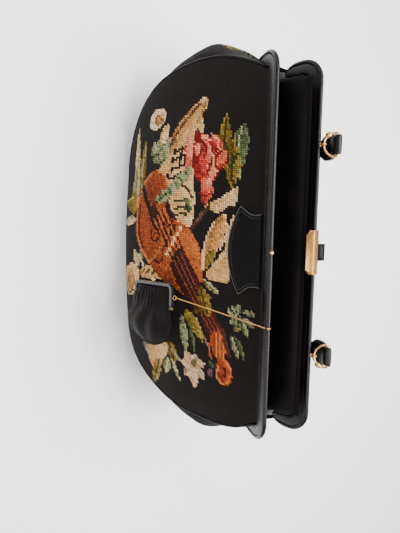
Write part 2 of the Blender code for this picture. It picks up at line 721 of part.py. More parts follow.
def smooth_route(anchors, steps):
    """Points along a smooth curve through a few chosen ones."""
    anchors = [np.array(a, float) for a in anchors]
    padded = [2 * anchors[0] - anchors[1]] + anchors + [2 * anchors[-1] - anchors[-2]]
    route = []
    for i in range(1, len(padded) - 2):
        p0, p1, p2, p3 = padded[i - 1:i + 3]
        for t in np.linspace(0, 1, steps, endpoint=False):
            route.append(0.5 * (2 * p1 + (p2 - p0) * t + (2 * p0 - 5 * p1 + 4 * p2 - p3) * t**2
                                + (3 * p1 - p0 - 3 * p2 + p3) * t**3))
    route.append(anchors[-1])
    return route


def frame_world(side, x, y, s):
    """A point of a frame half, given shut, carried to where that half stands."""
    return AXES[side].matrix_world @ Vector((x, y, s))


CHAIN_OUTER = -HALF_GAP - HALF_DEPTH - CHAIN_R - TOUCH


def over_bar_route():
    """The chain's way up the inside of the front bar and over its top."""
    over, x = LEG + CHAIN_R + TOUCH, CHAIN_TOP_X
    return smooth_route([(x, CHAIN_SET, 0.1125), (x, CHAIN_SET, 0.1158), (x, CHAIN_SET - 0.0010, over),
                         (x, -0.0030, over + 0.0002), (x, CHAIN_OUTER + 0.0010, over)], 4)


def chain_groove(leather, axis):
    """The leather is grooved inside the bar, so that the chain doesn't hold the frame open."""
    groove = wire_mesh("chain_groove", over_bar_route(), CHAIN_R + 0.8 * TOUCH)
    combine(leather, cutter("chain_groove", groove, axis), "DIFFERENCE")
    pocket = rod_mesh("anchor_pocket", (CHAIN_TOP_X, CHAIN_SET - CHAIN_R - TOUCH, ANCHOR_S),
                      (CHAIN_TOP_X, 0.001, ANCHOR_S), 0.0021)
    combine(leather, cutter("anchor_pocket", pocket, axis), "DIFFERENCE")


def chain():
    """The purse's chain: over the bar from an eyelet inside, then down the front to the purse."""
    route = over_bar_route()
    add_object("chain_over_bar", wire_mesh("chain_over_bar", route, CHAIN_R), GOLD, AXES["front"], 50)
    eye = [(CHAIN_TOP_X + 0.0010 * math.cos(a), CHAIN_SET, ANCHOR_S + 0.0010 * math.sin(a))
           for a in np.linspace(0, 2 * math.pi, 13)[:-1]]
    add_object("chain_anchor", wire_mesh("chain_anchor", eye, 0.00045, closed=True), GOLD, AXES["front"], 50)

    top = frame_world("front", CHAIN_TOP_X - 0.0002, CHAIN_OUTER - 0.0001, LEG - 0.0008)
    low = PURSE.matrix_world @ Vector((0.0150, 0.0062, 0.0))
    span = low - top
    route = []
    for t in np.linspace(0, 1, 20):
        sag = 4 * t * (1 - t) * 0.0022
        point = top + span * t
        route.append((point.x, point.y + sag * 0.4, point.z - sag))
    add_object("purse_chain", world_to(AXES["chain"], wire_mesh("purse_chain", route, CHAIN_R)), GOLD,
               AXES["chain"], 50)


def world_to(parent, mesh):
    mesh.transform(parent.matrix_world.inverted())
    return mesh


def purse_loop():
    """A purse frame half: a mouth bar along v with a leg at each end running along u, as a flat outline."""
    w, leg, bar, r = PURSE_FRAME_W, PURSE_FRAME_LEG, PURSE_BAR, 0.006
    outer = [(leg, 0.0)] + arc(r, -r, r, 90, 180, 5) + arc(r, -w + r, r, 180, 270, 5) + [(leg, -w)]
    ri = r - bar + 0.0008
    low = arc(bar + ri, -w + bar + ri, ri, 270, 180, 4)
    high = arc(bar + ri, -bar - ri, ri, 180, 90, 4)
    return outer + [(leg, -w + bar)] + low + high + [(leg, -bar)]


def pouch_surface(sign, row, column):
    """Half of the purse's cloth: gathered at the mouth, sagging to a round foot, puffed out to one side."""
    start = PURSE_BAR + 0.0006
    u = start + (PURSE_LEN - start) * row
    mouth = PURSE_FRAME_W / 2 - PURSE_BAR - 0.0022
    spread = smoothstep((u - PURSE_PIN_U - KNUCKLE_R - 0.0008) / 0.018)
    rounded = math.sqrt(max(0.0, 1 - max(0.0, (row - 0.55) / 0.45) ** 2.4))
    half = max(0.006, (mouth + (PURSE_BELLY - mouth) * spread) * rounded)
    middle = -PURSE_FRAME_W / 2 - PURSE_SAG * (spread - 0.6 * smoothstep(2.0 * row - 1.0))
    across = 2 * column - 1
    puff = PURSE_HALF_D * (1 - row) + PURSE_PUFF * math.sin(math.pi * min(1.0, row * 0.95 + 0.05)) ** 0.7
    w = 0.0006 + max(0.0, puff) * (1 - abs(across) ** 2.6)
    return u, middle + half * across, sign * w


def purse_frame(side, s, axis, offset):
    """One black half of the purse's frame, with a knuckle round the pin at each leg's end."""
    t = PURSE_HALF_D - 0.0008
    middle = s * (0.0005 + t / 2)
    name = f"purse_{side}_frame"
    half = add_object(name, plate_mesh(name, purse_loop(), t, Matrix.Translation((offset, 0, middle))), ENAMEL, axis, 40)
    soften(half, 0.0004, 1)
    pin_u = PURSE_PIN_U + offset
    for end, edge, inward in (("upper", 0.0, -1), ("lower", -PURSE_FRAME_W, 1)):
        first = 0.0001 if side == "front" else KNUCKLE_W + 2 * TOUCH
        near, far = edge + inward * first, edge + inward * (first + KNUCKLE_W)
        low, high = min(near, far), max(near, far)
        half_t = t / 2 - 0.0002
        link = box_mesh("knuckle_link", (PURSE_FRAME_LEG + offset - 0.0015, low + 0.0001, middle - half_t),
                        (pin_u, high - 0.0001, middle + half_t))
        combine(half, cutter(f"{name}_{end}_link", link, axis), "UNION")
        eye = rod_mesh("knuckle", (pin_u, low, 0), (pin_u, high, 0), KNUCKLE_R, 18)
        combine(half, cutter(f"{name}_{end}_knuckle", eye, axis), "UNION")
        bore = rod_mesh("knuckle_bore", (pin_u, low - 0.001, 0), (pin_u, high + 0.001, 0), PURSE_PIN_R + 0.0002, 14)
        combine(half, cutter(f"{name}_{end}_bore", bore, axis), "DIFFERENCE")


def purse_snap(side, s, axis, offset):
    """One ball of the kiss lock, on a short stem out of the mouth bar."""
    v, w = -PURSE_FRAME_W / 2 + s * 0.0021, s * 0.0016
    centre = (offset + 0.0005 - SNAP_R, v, w)
    foot = (offset - TOUCH, v, w)
    snap = add_object(f"purse_snap_{side}", ball_mesh(f"purse_snap_{side}", centre, SNAP_R - 0.0006, 14), GOLD, axis, 50)
    combine(snap, cutter(f"snap_stem_{side}", rod_mesh("snap_stem", centre, foot, 0.0008, 10), axis), "UNION")


def purse_cloth(side, s):
    name = f"purse_{side}_cloth"
    mesh = grid_mesh(name, 11, 10, lambda row, column: pouch_surface(s, row, column))
    face_away(mesh, (PURSE_LEN / 2, -PURSE_FRAME_W / 2, 0))
    thicken(add_object(name, mesh, MOIRE, PURSE, 60), 0.0004)


def purse():
    """The coin purse: two frame halves on a cross pin each end, two cloth halves, two snap balls."""
    for side, s in (("front", 1), ("rear", -1)):
        axis, offset = (AXES["purse_front"], -PURSE_PIN_U) if side == "front" else (PURSE, 0.0)
        purse_frame(side, s, axis, offset)
        purse_snap(side, s, axis, offset)
        purse_cloth(side, s)
    reach, head = 2 * KNUCKLE_W + 0.0008, 0.0010
    for end, v, inward in (("upper", 0.0, -1), ("lower", -PURSE_FRAME_W, 1)):
        out = v - inward * 2 * TOUCH
        pin = add_object("purse_pin_" + end, rod_mesh("purse_pin", (PURSE_PIN_U, v + inward * reach, 0),
                                                      (PURSE_PIN_U, out, 0), PURSE_PIN_R, 14), GOLD, PURSE, 50)
        cap = rod_mesh("pin_cap", (PURSE_PIN_U, v - inward * 0.0001, 0), (PURSE_PIN_U, v - inward * (0.0001 + head), 0),
                       0.0019, 18)
        combine(pin, cutter("purse_pin_cap_" + end, cap, PURSE), "UNION")
    loop = [(0.0150 + 0.0022 * math.cos(a), 0.0030 + 0.0022 * math.sin(a), 0.0)
            for a in np.linspace(0, 2 * math.pi, 15)[:-1]]
    add_object("purse_jump_ring", wire_mesh("purse_jump_ring", loop, 0.0005, closed=True), GOLD, PURSE, 50)


clear_scene()
PARTS = collection("knitting_bag")
CUTTERS = collection("knitting_bag_cutters")

HINGE = Matrix.Translation((0, 0, HINGE_Z))
AXES = {"hinge": empty("hinge_axis", HINGE)}
AXES["front"] = empty("front_frame_axis", HINGE @ Matrix.Rotation(FRONT_TILT, 4, "X"))
AXES["rear"] = empty("rear_frame_axis", HINGE @ Matrix.Rotation(REAR_TILT, 4, "X"))
AXES["clasp"] = empty("clasp_axis", AXES["rear"].matrix_world @ Matrix.Translation((0, PIN_Y, PIN_S)), AXES["rear"])
EYELET_AT = frame_world("rear", 0, EYELET_Y, EYELET_S)
AXES["rings"] = empty("ring_axis", Matrix.Translation(EYELET_AT) @ Matrix.Rotation(RING_LEAN, 4, "X"), AXES["rear"])
PIN_AT = AXES["rings"].matrix_world @ Vector((0, RING_R + RING_LEG, 0))
AXES["handle"] = empty("handle_axis", Matrix.Translation(PIN_AT) @ Matrix.Rotation(HANG - math.pi / 2, 4, "X"),
                       AXES["rings"])
AXES["chain"] = empty("chain_axis", Matrix.Translation(
    frame_world("front", CHAIN_TOP_X, -HALF_GAP - HALF_DEPTH, LEG)), AXES["front"])
# the purse's own axes: u along X, v up its lean, w out of the front
PURSE_TURN = Matrix.Rotation(math.pi / 2 - PURSE_LEAN, 4, "X")
PURSE = empty("coin_purse_axis", Matrix.Translation(PURSE_AT) @ PURSE_TURN, AXES["chain"])
AXES["purse_front"] = empty("purse_front_axis", PURSE.matrix_world @ Matrix.Translation((PURSE_PIN_U, 0, 0)), PURSE)

for part_side in ("front", "rear"):
    frame_half(part_side)
    panel(part_side)
    welt(part_side)
hinge_rivets()
gusset("left", -1)
gusset("right", 1)
base()
lining()
front_tab()
clasp()
rings()
handle()
chain()
purse()
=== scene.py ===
"""A needlepoint knitting bag standing open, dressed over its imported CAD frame.

Metres, +Z up, front facing -Y. The cloth, leather and most gilt pieces are built here. The steel, the base
board, the purse's frame and a few small fittings stay from the CAD.
"""

import math

import bmesh
import bpy
import numpy as np
from mathutils import Matrix, Vector


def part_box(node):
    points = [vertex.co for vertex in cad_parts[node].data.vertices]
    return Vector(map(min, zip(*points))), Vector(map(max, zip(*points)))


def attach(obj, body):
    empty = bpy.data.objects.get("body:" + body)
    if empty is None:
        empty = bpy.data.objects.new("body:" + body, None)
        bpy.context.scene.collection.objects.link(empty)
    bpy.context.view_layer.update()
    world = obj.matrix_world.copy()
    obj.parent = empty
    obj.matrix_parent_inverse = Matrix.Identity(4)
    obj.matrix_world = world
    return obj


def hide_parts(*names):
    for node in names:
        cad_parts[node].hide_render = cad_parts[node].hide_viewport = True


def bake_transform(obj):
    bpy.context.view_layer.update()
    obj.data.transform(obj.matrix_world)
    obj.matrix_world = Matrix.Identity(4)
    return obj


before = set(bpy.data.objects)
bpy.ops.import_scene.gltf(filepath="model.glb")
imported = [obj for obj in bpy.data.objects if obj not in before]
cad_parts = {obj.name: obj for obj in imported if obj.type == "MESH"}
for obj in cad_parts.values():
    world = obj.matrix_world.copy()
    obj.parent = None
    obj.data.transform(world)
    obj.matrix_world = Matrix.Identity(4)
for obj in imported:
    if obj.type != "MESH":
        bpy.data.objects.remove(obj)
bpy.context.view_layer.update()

MM = 0.001

# ---- cloth, seams and thread
WOOL_THICK, SEAM_SET, ROLL_ABOVE = 0.0022, 0.0030, 0.004
WELD = 1e-6
BAR_THREAD = (2.0 * MM, 1.0 * MM, 0.22 * MM)
SEAM_THREAD = (2.0 * MM, 1.0 * MM, 0.24 * MM)
MIDDLE_OF_BAG = (0, 0, 0.1)

# ---- the frame and the cloth body, close to the CAD's
HINGE_Z = 0.132
LEG = 0.118
FRONT_TILT = math.radians(20.0)
REAR_TILT = math.radians(-5.5)
FRAME_HALF, CORNER_R, BAND = 0.200, 0.025, 0.0165
HALF_GAP, HALF_DEPTH = 0.0004, 0.0051
EAR_END = {"front": 0.066, "rear": 0.070}
WIDTH_HALF, CORNER_Z, CORNER_POWER, BASE_SAG = 0.206, 0.150, 2.3, 0.006
SHOULDER, BELLY_Z, CROWN = 0.0215, 0.050, 0.020
TOP = {"front": (0.2253, 0.0386), "rear": (0.2327, 0.0125)}
BELLY = {"front": 0.092, "rear": 0.088}
BASE_HALF = {"front": 0.068, "rear": 0.064}
TOP_SLOPE = -0.35
SIDE = {"front": -1.0, "rear": 1.0}
EDGE_Z = 0.221
GUSSET_BULGE, BASE_X = 0.027, 0.075
LINING_SET, LINING_HALF, LINING_TOP = 0.009, 0.1825, 0.2205
TOUCH = 0.0003

# ---- fittings, as in the CAD
CLASP_W, PIN_Y, PIN_S, LIP_Y, PLATE_S = 0.046, 0.0082, 0.1160, -0.0093, 0.1222
STUD_Y = -0.0034
RING_X, RING_R, RING_WIRE, RING_LEG = 0.110, 0.012, 0.0012, 0.002
RING_LEAN = math.radians(40.0)
EYELET_Y, EYELET_S, BALL_R = 0.0030, 0.1220, 0.0034
HANG = math.radians(21.0)
LOOP_R, LOOP_W, TAB_LEN, TAB_WIDE, GRIP_R = 0.0043, 0.020, 0.036, 0.028, 0.0060
ARCH_HALF, ARCH_DROP = 0.1100, 0.141
CHAIN_TOP_X, CHAIN_R = 0.0755, 0.0007
PURSE_AT = Vector((0.0405, -0.0905, 0.1385))
PURSE_LEAN = math.radians(14.5)
PURSE_FRAME_W, PURSE_BAR, PURSE_PIN_U = 0.060, 0.0034, 0.0278
PURSE_LEN, PURSE_BELLY, PURSE_PUFF, PURSE_SAG = 0.074, 0.0365, 0.0115, 0.0070

HINGE = Matrix.Translation((0, 0, HINGE_Z))
FRONT = HINGE @ Matrix.Rotation(FRONT_TILT, 4, "X")
REAR = HINGE @ Matrix.Rotation(REAR_TILT, 4, "X")
AXES = {"front": FRONT, "rear": REAR}
CLASP = REAR @ Matrix.Translation((0, PIN_Y, PIN_S))
RINGS = Matrix.Translation(REAR @ Vector((0, EYELET_Y, EYELET_S))) @ Matrix.Rotation(RING_LEAN, 4, "X")
HANDLE = (Matrix.Translation(RINGS @ Vector((0, RING_R + RING_LEG, 0)))
          @ Matrix.Rotation(HANG - math.pi / 2, 4, "X"))
PURSE = Matrix.Translation(PURSE_AT) @ Matrix.Rotation(math.pi / 2 - PURSE_LEAN, 4, "X")

random = np.random.default_rng(41)


# ================================================================ camera

def place_camera():
    """The photo's viewpoint: from above the front, with the picture lying on its side."""
    turn, down, roll = math.radians(8.63), math.radians(53.0), math.radians(8.2)
    ahead = Vector((math.sin(turn) * math.cos(down), math.cos(turn) * math.cos(down), -math.sin(down)))
    right = Vector((math.cos(turn), -math.sin(turn), 0))
    up = right.cross(ahead)
    c, s = math.cos(roll), math.sin(roll)
    x_axis, y_axis = up * c - right * s, -(right * c + up * s)
    data = bpy.data.cameras.new("camera")
    data.lens = 29.64
    data.clip_start = 0.01
    camera = bpy.data.objects.new("camera", data)
    bpy.context.scene.collection.objects.link(camera)
    axes = Matrix((x_axis, y_axis, -ahead)).transposed().to_4x4()
    camera.matrix_world = Matrix.Translation((-0.02403, -0.35637, 0.54514)) @ axes
    bpy.context.scene.camera = camera


place_camera()


# ================================================================ mesh helpers

def smoothstep(x):
    x = np.clip(x, 0.0, 1.0)
    return x * x * (3 - 2 * x)


def link(name, mesh, matrix=None):
    obj = bpy.data.objects.new(name, mesh)
    bpy.context.scene.collection.objects.link(obj)
    if matrix is not None:
        obj.matrix_world = matrix
    return obj


def mesh_from(name, points, faces, smooth=True):
    mesh = bpy.data.meshes.new(name)
    mesh.from_pydata([tuple(p) for p in points], [], faces)
    mesh.validate()
    if smooth:
        mesh.shade_smooth()
    return mesh


def grid_mesh(name, points, loop=False, uv=None, outward=None):
    """A sheet through (rows, columns, 3) points, with one uv pair a vertex, facing away from outward."""
    points = np.asarray(points, float)
    rows, columns = points.shape[:2]
    span = columns if loop else columns - 1
    r, c = np.meshgrid(np.arange(rows - 1), np.arange(span), indexing="ij")
    d = (c + 1) % columns
    quads = np.stack([r * columns + c, r * columns + d, (r + 1) * columns + d, (r + 1) * columns + c],
                     -1).reshape(-1, 4)
    if outward is not None:
        flat = points.reshape(-1, 3)
        a, b, e = flat[quads[:, 0]], flat[quads[:, 1]], flat[quads[:, 3]]
        normal = np.cross(b - a, e - a)
        if np.sum((a - np.asarray(outward)) * normal) < 0:
            quads = quads[:, ::-1]
    mesh = mesh_from(name, points.reshape(-1, 3), quads.tolist())
    if uv is not None:
        flat_uv = np.asarray(uv, float).reshape(-1, 2)
        layer = mesh.uv_layers.new(name="cloth")
        index = np.zeros(len(mesh.loops), int)
        mesh.loops.foreach_get("vertex_index", index)
        layer.data.foreach_set("uv", flat_uv[index].ravel())
    return mesh


def thicken(obj, thickness):
    """Gives a sheet a thickness on its inner side."""
    shell = obj.modifiers.new("thickness", "SOLIDIFY")
    shell.thickness = thickness
    shell.offset = -1.0
    shell.use_even_offset = False


def bevel(obj, width):
    soft = obj.modifiers.new("soft_edges", "BEVEL")
    soft.width = width
    soft.segments = 3
    soft.limit_method = "ANGLE"
    soft.angle_limit = math.radians(30.0)


def subdivide(obj):
    sub = obj.modifiers.new("smooth", "SUBSURF")
    sub.levels = 1
    sub.render_levels = 1


def apply_modifiers(obj):
    bpy.context.view_layer.update()
    graph = bpy.context.evaluated_depsgraph_get()
    done = bpy.data.meshes.new_from_object(obj.evaluated_get(graph), depsgraph=graph)
    obj.modifiers.clear()
    obj.data = done


def sweep(name, route, profile, closed=False, up=(0, 0, 1)):
    """A tube along a route; profile(i, fraction) gives the section there as (side, up) pairs."""
    route = np.asarray(route, float)
    count = len(route)
    if closed:
        ahead = np.roll(route, -1, 0) - np.roll(route, 1, 0)
    else:
        ahead = np.gradient(route, axis=0)
    ahead /= np.linalg.norm(ahead, axis=1)[:, None]
    lift = np.array(up, float) - ahead[0] * np.dot(up, ahead[0])
    lift /= np.linalg.norm(lift)
    rings = []
    for i in range(count):
        lift = lift - ahead[i] * np.dot(lift, ahead[i])
        lift /= np.linalg.norm(lift)
        side = np.cross(ahead[i], lift)
        section = np.asarray(profile(i, i / max(1, count - 1)), float)
        rings.append(route[i] + section[:, :1] * side + section[:, 1:] * lift)
    return tube(name, np.array(rings), closed)


def tube(name, rings, closed=False):
    """A skin through rings of points, capped at both ends unless it closes on itself."""
    count, around = rings.shape[:2]
    faces = []
    for i in range(count if closed else count - 1):
        j = (i + 1) % count
        for k in range(around):
            m = (k + 1) % around
            faces.append((i * around + k, i * around + m, j * around + m, j * around + k))
    if not closed:
        faces.append(tuple(range(around)))
        faces.append(tuple(reversed(range((count - 1) * around, count * around))))
    mesh = mesh_from(name, rings.reshape(-1, 3), faces)
    mend(mesh, face_out)
    return mesh


def mend(mesh, *steps):
    """Runs steps over a mesh in place; each takes the open bmesh."""
    bm = bmesh.new()
    bm.from_mesh(mesh)
    for step in steps:
        step(bm)
    bm.to_mesh(mesh)
    bm.free()


def face_out(bm):
    bmesh.ops.recalc_face_normals(bm, faces=bm.faces)


def weld(bm, distance=WELD):
    bmesh.ops.remove_doubles(bm, verts=bm.verts, dist=distance)


def drop_slivers(bm):
    bmesh.ops.dissolve_degenerate(bm, dist=WELD, edges=bm.edges)


def fill_ends(bm):
    bmesh.ops.holes_fill(bm, edges=bm.edges, sides=0)


def circle(radius, sides=12):
    a = np.linspace(0, 2 * math.pi, sides, endpoint=False)
    return np.stack([radius * np.cos(a), radius * np.sin(a)], 1)


def lathe(name, profile, sides=28):
    """A turned piece round Z through (radius, height) pairs; its ends close at radius 0."""
    a = np.linspace(0, 2 * math.pi, sides, endpoint=False)
    rings = [np.stack([r * np.cos(a), r * np.sin(a), np.full(sides, z)], 1) for r, z in profile]
    mesh = grid_mesh(name, np.array(rings), loop=True)
    mend(mesh, lambda bm: weld(bm, 1e-7), face_out)
    mesh.shade_smooth()
    return mesh


def smooth_curve(anchors, steps, closed=False):
    """Points along a smooth curve through the anchors."""
    p = [np.array(a, float) for a in anchors]
    padded = [p[-1], *p, p[0], p[1]] if closed else [2 * p[0] - p[1], *p, 2 * p[-1] - p[-2]]
    route = []
    for i in range(1, len(padded) - 2):
        a, b, c, d = padded[i - 1:i + 3]
        for t in np.linspace(0, 1, steps, endpoint=False):
            route.append(0.5 * (2 * b + (c - a) * t + (2 * a - 5 * b + 4 * c - d) * t**2
                                + (3 * b - a - 3 * c + d) * t**3))
    if not closed:
        route.append(p[-1])
    return np.array(route)


def join(name, parts, matrix=None):
    """One mesh object from several meshes."""
    bm = bmesh.new()
    for part in parts:
        bm.from_mesh(part)
    mesh = bpy.data.meshes.new(name)
    bm.to_mesh(mesh)
    bm.free()
    mesh.shade_smooth()
    return link(name, mesh, matrix)


def stitches(name, route, normals, long=2.2 * MM, gap=1.0 * MM, radius=0.28 * MM):
    """A run of thread stitches lying along a route on a surface."""
    route, normals = np.asarray(route, float), np.asarray(normals, float)
    step = np.linalg.norm(np.diff(route, axis=0), axis=1)
    along = np.concatenate([[0], np.cumsum(step)])
    points, faces = [], []
    place = gap / 2
    shape = [(-0.5, 0.0), (-0.42, 0.7), (-0.2, 1.0), (0.2, 1.0), (0.42, 0.7), (0.5, 0.0)]
    sides = 6
    while place + long < along[-1]:
        ends = [np.array([np.interp(q, along, route[:, k]) for k in range(3)])
                for q in (place, place + long)]
        normal = np.array([np.interp(place + long / 2, along, normals[:, k]) for k in range(3)])
        ahead = (ends[1] - ends[0]) / np.linalg.norm(ends[1] - ends[0])
        normal = normal - ahead * np.dot(normal, ahead)
        normal /= np.linalg.norm(normal)
        side = np.cross(ahead, normal)
        middle = (ends[0] + ends[1]) / 2
        base = len(points)
        for f, r in shape:
            for a in np.linspace(0, 2 * math.pi, sides, endpoint=False):
                turned = math.cos(a) * side + math.sin(a) * normal
                lift = radius * r * turned - normal * radius * 1.2 * (1 - r)
                points.append(middle + ahead * long * f + lift)
        for i in range(len(shape) - 1):
            for k in range(sides):
                m = (k + 1) % sides
                faces.append((base + i * sides + k, base + i * sides + m, base + (i + 1) * sides + m,
                              base + (i + 1) * sides + k))
        place += long + gap
    mesh = mesh_from(name, points, faces)
    mend(mesh, face_out)
    return mesh


# ================================================================ the cloth body's shape

def half_width(z):
    z = np.asarray(z, float)
    lifted = np.minimum(CORNER_Z, z * (CORNER_Z - BASE_SAG) / CORNER_Z + BASE_SAG)
    rounded = WIDTH_HALF * (1 - (1 - lifted / CORNER_Z) ** CORNER_POWER) ** (1 / CORNER_POWER)
    return rounded - SHOULDER * np.clip((z - CORNER_Z) / (EDGE_Z - CORNER_Z), 0, 1) ** 2


def outline(q):
    """A point of the panel's D outline, from the bottom's middle at q = 0 to the ear at q = 1, as (x, z)."""
    bend = 0.68
    if q < bend:
        turn = q / bend * math.pi / 2
        x = WIDTH_HALF * math.sin(turn) ** (2 / CORNER_POWER)
        z = CORNER_Z * (1 - math.cos(turn) ** (2 / CORNER_POWER))
        return x, max(0.0, z - BASE_SAG) * CORNER_Z / (CORNER_Z - BASE_SAG)
    z = CORNER_Z + (q - bend) / (1 - bend) * (EDGE_Z - CORNER_Z)
    return float(half_width(z)), z


def outline_at_x(x):
    low, high = 0.0, 0.6
    for _ in range(40):
        middle = (low + high) / 2
        low, high = (middle, high) if outline(middle)[0] < x else (low, middle)
    return low


def depth(z, side):
    z = np.asarray(z, float)
    top_z, top_y = TOP[side]
    belly, base = BELLY[side], BASE_HALF[side]
    low = base + (belly - base) * np.sqrt(np.clip(1 - (1 - np.minimum(z, BELLY_Z) / BELLY_Z) ** 2, 0, 1))
    w = (z - BELLY_Z) / (top_z - BELLY_Z)
    slope = TOP_SLOPE * (top_z - BELLY_Z)
    high = belly * (2 * w**3 - 3 * w**2 + 1) + top_y * (3 * w**2 - 2 * w**3) + slope * (w**3 - w**2)
    return np.where(z < BELLY_Z, low, high)


def seam_depth(z, side):
    z = np.asarray(z, float)
    return depth(z, side) - CROWN * np.sin(math.pi * np.clip(z / TOP[side][0], 0, 1)) ** 0.8


def panel_points(x, z, side, out=0.0):
    """Points on a panel's outer face; out moves them away from the bag."""
    across = np.clip(np.abs(x) / half_width(z), 0, 1) ** 3
    y = depth(z, side) * (1 - across) + seam_depth(z, side) * across
    return np.stack(np.broadcast_arrays(x, SIDE[side] * (y + out), z), -1)


def gusset_bulge(z):
    return GUSSET_BULGE * smoothstep((z - 0.012) / 0.080) * (1 - 0.88 * smoothstep((z - 0.122) / 0.058))


def lean(z):
    """The soft body has slumped a little to the left between its base and its frame."""
    z = np.asarray(z, float)
    low = 0.0030 * np.exp(-((z - 0.07) / 0.03) ** 2)
    return -(0.0055 + low) * smoothstep(z / 0.05) * (1 - smoothstep((z - 0.13) / 0.075))


# ================================================================ purse chain, the one free cord

def chain_links(name, route, pitch=2.05 * MM, long=2.9 * MM, wide=1.36 * MM, wire=0.30 * MM):
    """Oval links along a route, each turned a quarter from the last."""
    step = np.linalg.norm(np.diff(route, axis=0), axis=1)
    along = np.concatenate([[0], np.cumsum(step)])
    count = int((along[-1] - long) / pitch) + 1
    pitch = (along[-1] - long) / (count - 1)
    turns = np.linspace(0, 2 * math.pi, 14, endpoint=False)
    straight = long / 2 - wide / 2
    bend = wide / 2 - wire
    oval = [(bend * math.cos(a) + math.copysign(straight, math.cos(a)), bend * math.sin(a), 0.0)
            for a in turns]
    one = sweep("link", oval, lambda i, f: circle(wire, 7), closed=True)
    parts = []
    lift = np.array([0.3, 0.9, 0.1])
    for k in range(count):
        at = long / 2 + pitch * k
        here = np.array([np.interp(at, along, route[:, j]) for j in range(3)])
        near = np.array([np.interp(at - 0.4 * MM, along, route[:, j]) for j in range(3)])
        ahead = (here - near) / np.linalg.norm(here - near)
        side = np.cross(lift, ahead)
        side /= np.linalg.norm(side)
        normal = np.cross(ahead, side)
        angle = math.pi / 4 + (math.pi / 2 if k % 2 else 0.0)
        a = side * math.cos(angle) + normal * math.sin(angle)
        b = np.cross(ahead, a)
        turn = Matrix((ahead, a, b)).transposed().to_4x4()
        part = one.copy()
        part.transform(Matrix.Translation(here) @ turn)
        parts.append(part)
    return join(name, parts)


CHAIN_SET = -0.0005
OUTER = -HALF_GAP - HALF_DEPTH - CHAIN_R - TOUCH
OVER = LEG + CHAIN_R + TOUCH
CHAIN_TOP = np.array(FRONT @ Vector((CHAIN_TOP_X - 0.0002, OUTER - 0.0001, LEG - 0.0008)))
CHAIN_FOOT = np.array(PURSE @ Vector((0.0150, 0.0062, 0.0)))


def hanging_chain():
    t = np.linspace(0, 1, 40)[:, None]
    sag = 4 * t * (1 - t) * 0.0022
    return CHAIN_TOP + (CHAIN_FOOT - CHAIN_TOP) * t + sag * np.array([0, 0.4, -1.0])


chain_route = hanging_chain()
purse_chain = chain_links("gilt_chain", chain_route)
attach(purse_chain, "chain")
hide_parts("purse_chain")

bar_route = [(CHAIN_TOP_X, CHAIN_SET, 0.1125), (CHAIN_TOP_X, CHAIN_SET, 0.1158),
             (CHAIN_TOP_X, CHAIN_SET - 0.0010, OVER), (CHAIN_TOP_X, -0.0030, OVER + 0.0002),
             (CHAIN_TOP_X, OUTER + 0.0010, OVER)]
over_bar = chain_links("gilt_chain_over_bar",
                       np.array([FRONT @ Vector(p) for p in smooth_curve(bar_route, 5)]))
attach(over_bar, "front_frame")
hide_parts("chain_over_bar")


# ================================================================ materials

def srgb(r, g, b):
    """A screen colour, 0 to 255, as linear light."""
    c = np.array([r, g, b]) / 255.0
    return tuple(float(v) for v in np.where(c <= 0.04045, c / 12.92, ((c + 0.055) / 1.055) ** 2.4))


class Nodes:
    """A short way to write a material's nodes."""

    def __init__(self, name):
        self.material = bpy.data.materials.new(name)
        self.material.use_nodes = True
        self.tree = self.material.node_tree
        self.shader = self.tree.nodes["Principled BSDF"]

    def add(self, kind, settings=None, **inputs):
        node = self.tree.nodes.new(kind)
        for key, value in (settings or {}).items():
            setattr(node, key, value)
        for key, value in inputs.items():
            self.feed(node, key.replace("_", " "), value)
        return node

    def feed(self, node, key, value):
        socket = node.inputs[int(key[1:])] if key[0] == "i" and key[1:].isdigit() else node.inputs[key]
        if isinstance(value, bpy.types.NodeSocket):
            self.tree.links.new(value, socket)
        else:
            socket.default_value = value

    def math(self, operation, a, b=0.0, c=0.0):
        node = self.add("ShaderNodeMath", {"operation": operation})
        for k, value in enumerate((a, b, c)):
            self.feed(node, f"i{k}", value)
        return node.outputs[0]

    def coordinates(self, scale=(1, 1, 1)):
        where = self.add("ShaderNodeTexCoord").outputs["Object"]
        return self.add("ShaderNodeMapping", Vector=where, Scale=scale).outputs[0]

    def noise(self, scale, detail=4.0, rough=0.55, vector=None):
        node = self.add("ShaderNodeTexNoise", Scale=scale, Detail=detail, Roughness=rough)
        self.feed(node, "Vector", vector or self.coordinates())
        return node.outputs["Fac"]

    def wave(self, along, scale, distortion, vector, **inputs):
        bands = {"wave_type": "BANDS", "bands_direction": along}
        node = self.add("ShaderNodeTexWave", bands, Scale=scale, Distortion=distortion, **inputs)
        self.feed(node, "Vector", vector)
        return node.outputs["Fac"]

    def mix(self, factor, a, b, blend="MIX"):
        node = self.add("ShaderNodeMix", {"data_type": "RGBA", "blend_type": blend})
        self.feed(node, "i0", factor)
        self.feed(node, "i6", a if isinstance(a, bpy.types.NodeSocket) else (*a, 1.0))
        self.feed(node, "i7", b if isinstance(b, bpy.types.NodeSocket) else (*b, 1.0))
        return node.outputs[2]

    def spread(self, value, low, high, new_low=0.0, new_high=1.0):
        node = self.add("ShaderNodeMapRange")
        for k, v in enumerate((value, low, high, new_low, new_high)):
            self.feed(node, f"i{k}", v)
        return node.outputs[0]

    def bump(self, height, distance, strength):
        return self.add("ShaderNodeBump", Height=height, Distance=distance, Strength=strength).outputs[0]

    def set(self, **inputs):
        for key, value in inputs.items():
            if key == "Base_Color" and not isinstance(value, bpy.types.NodeSocket):
                value = (*value, 1.0)
            self.feed(self.shader, key.replace("_", " "), value)
        return self.material


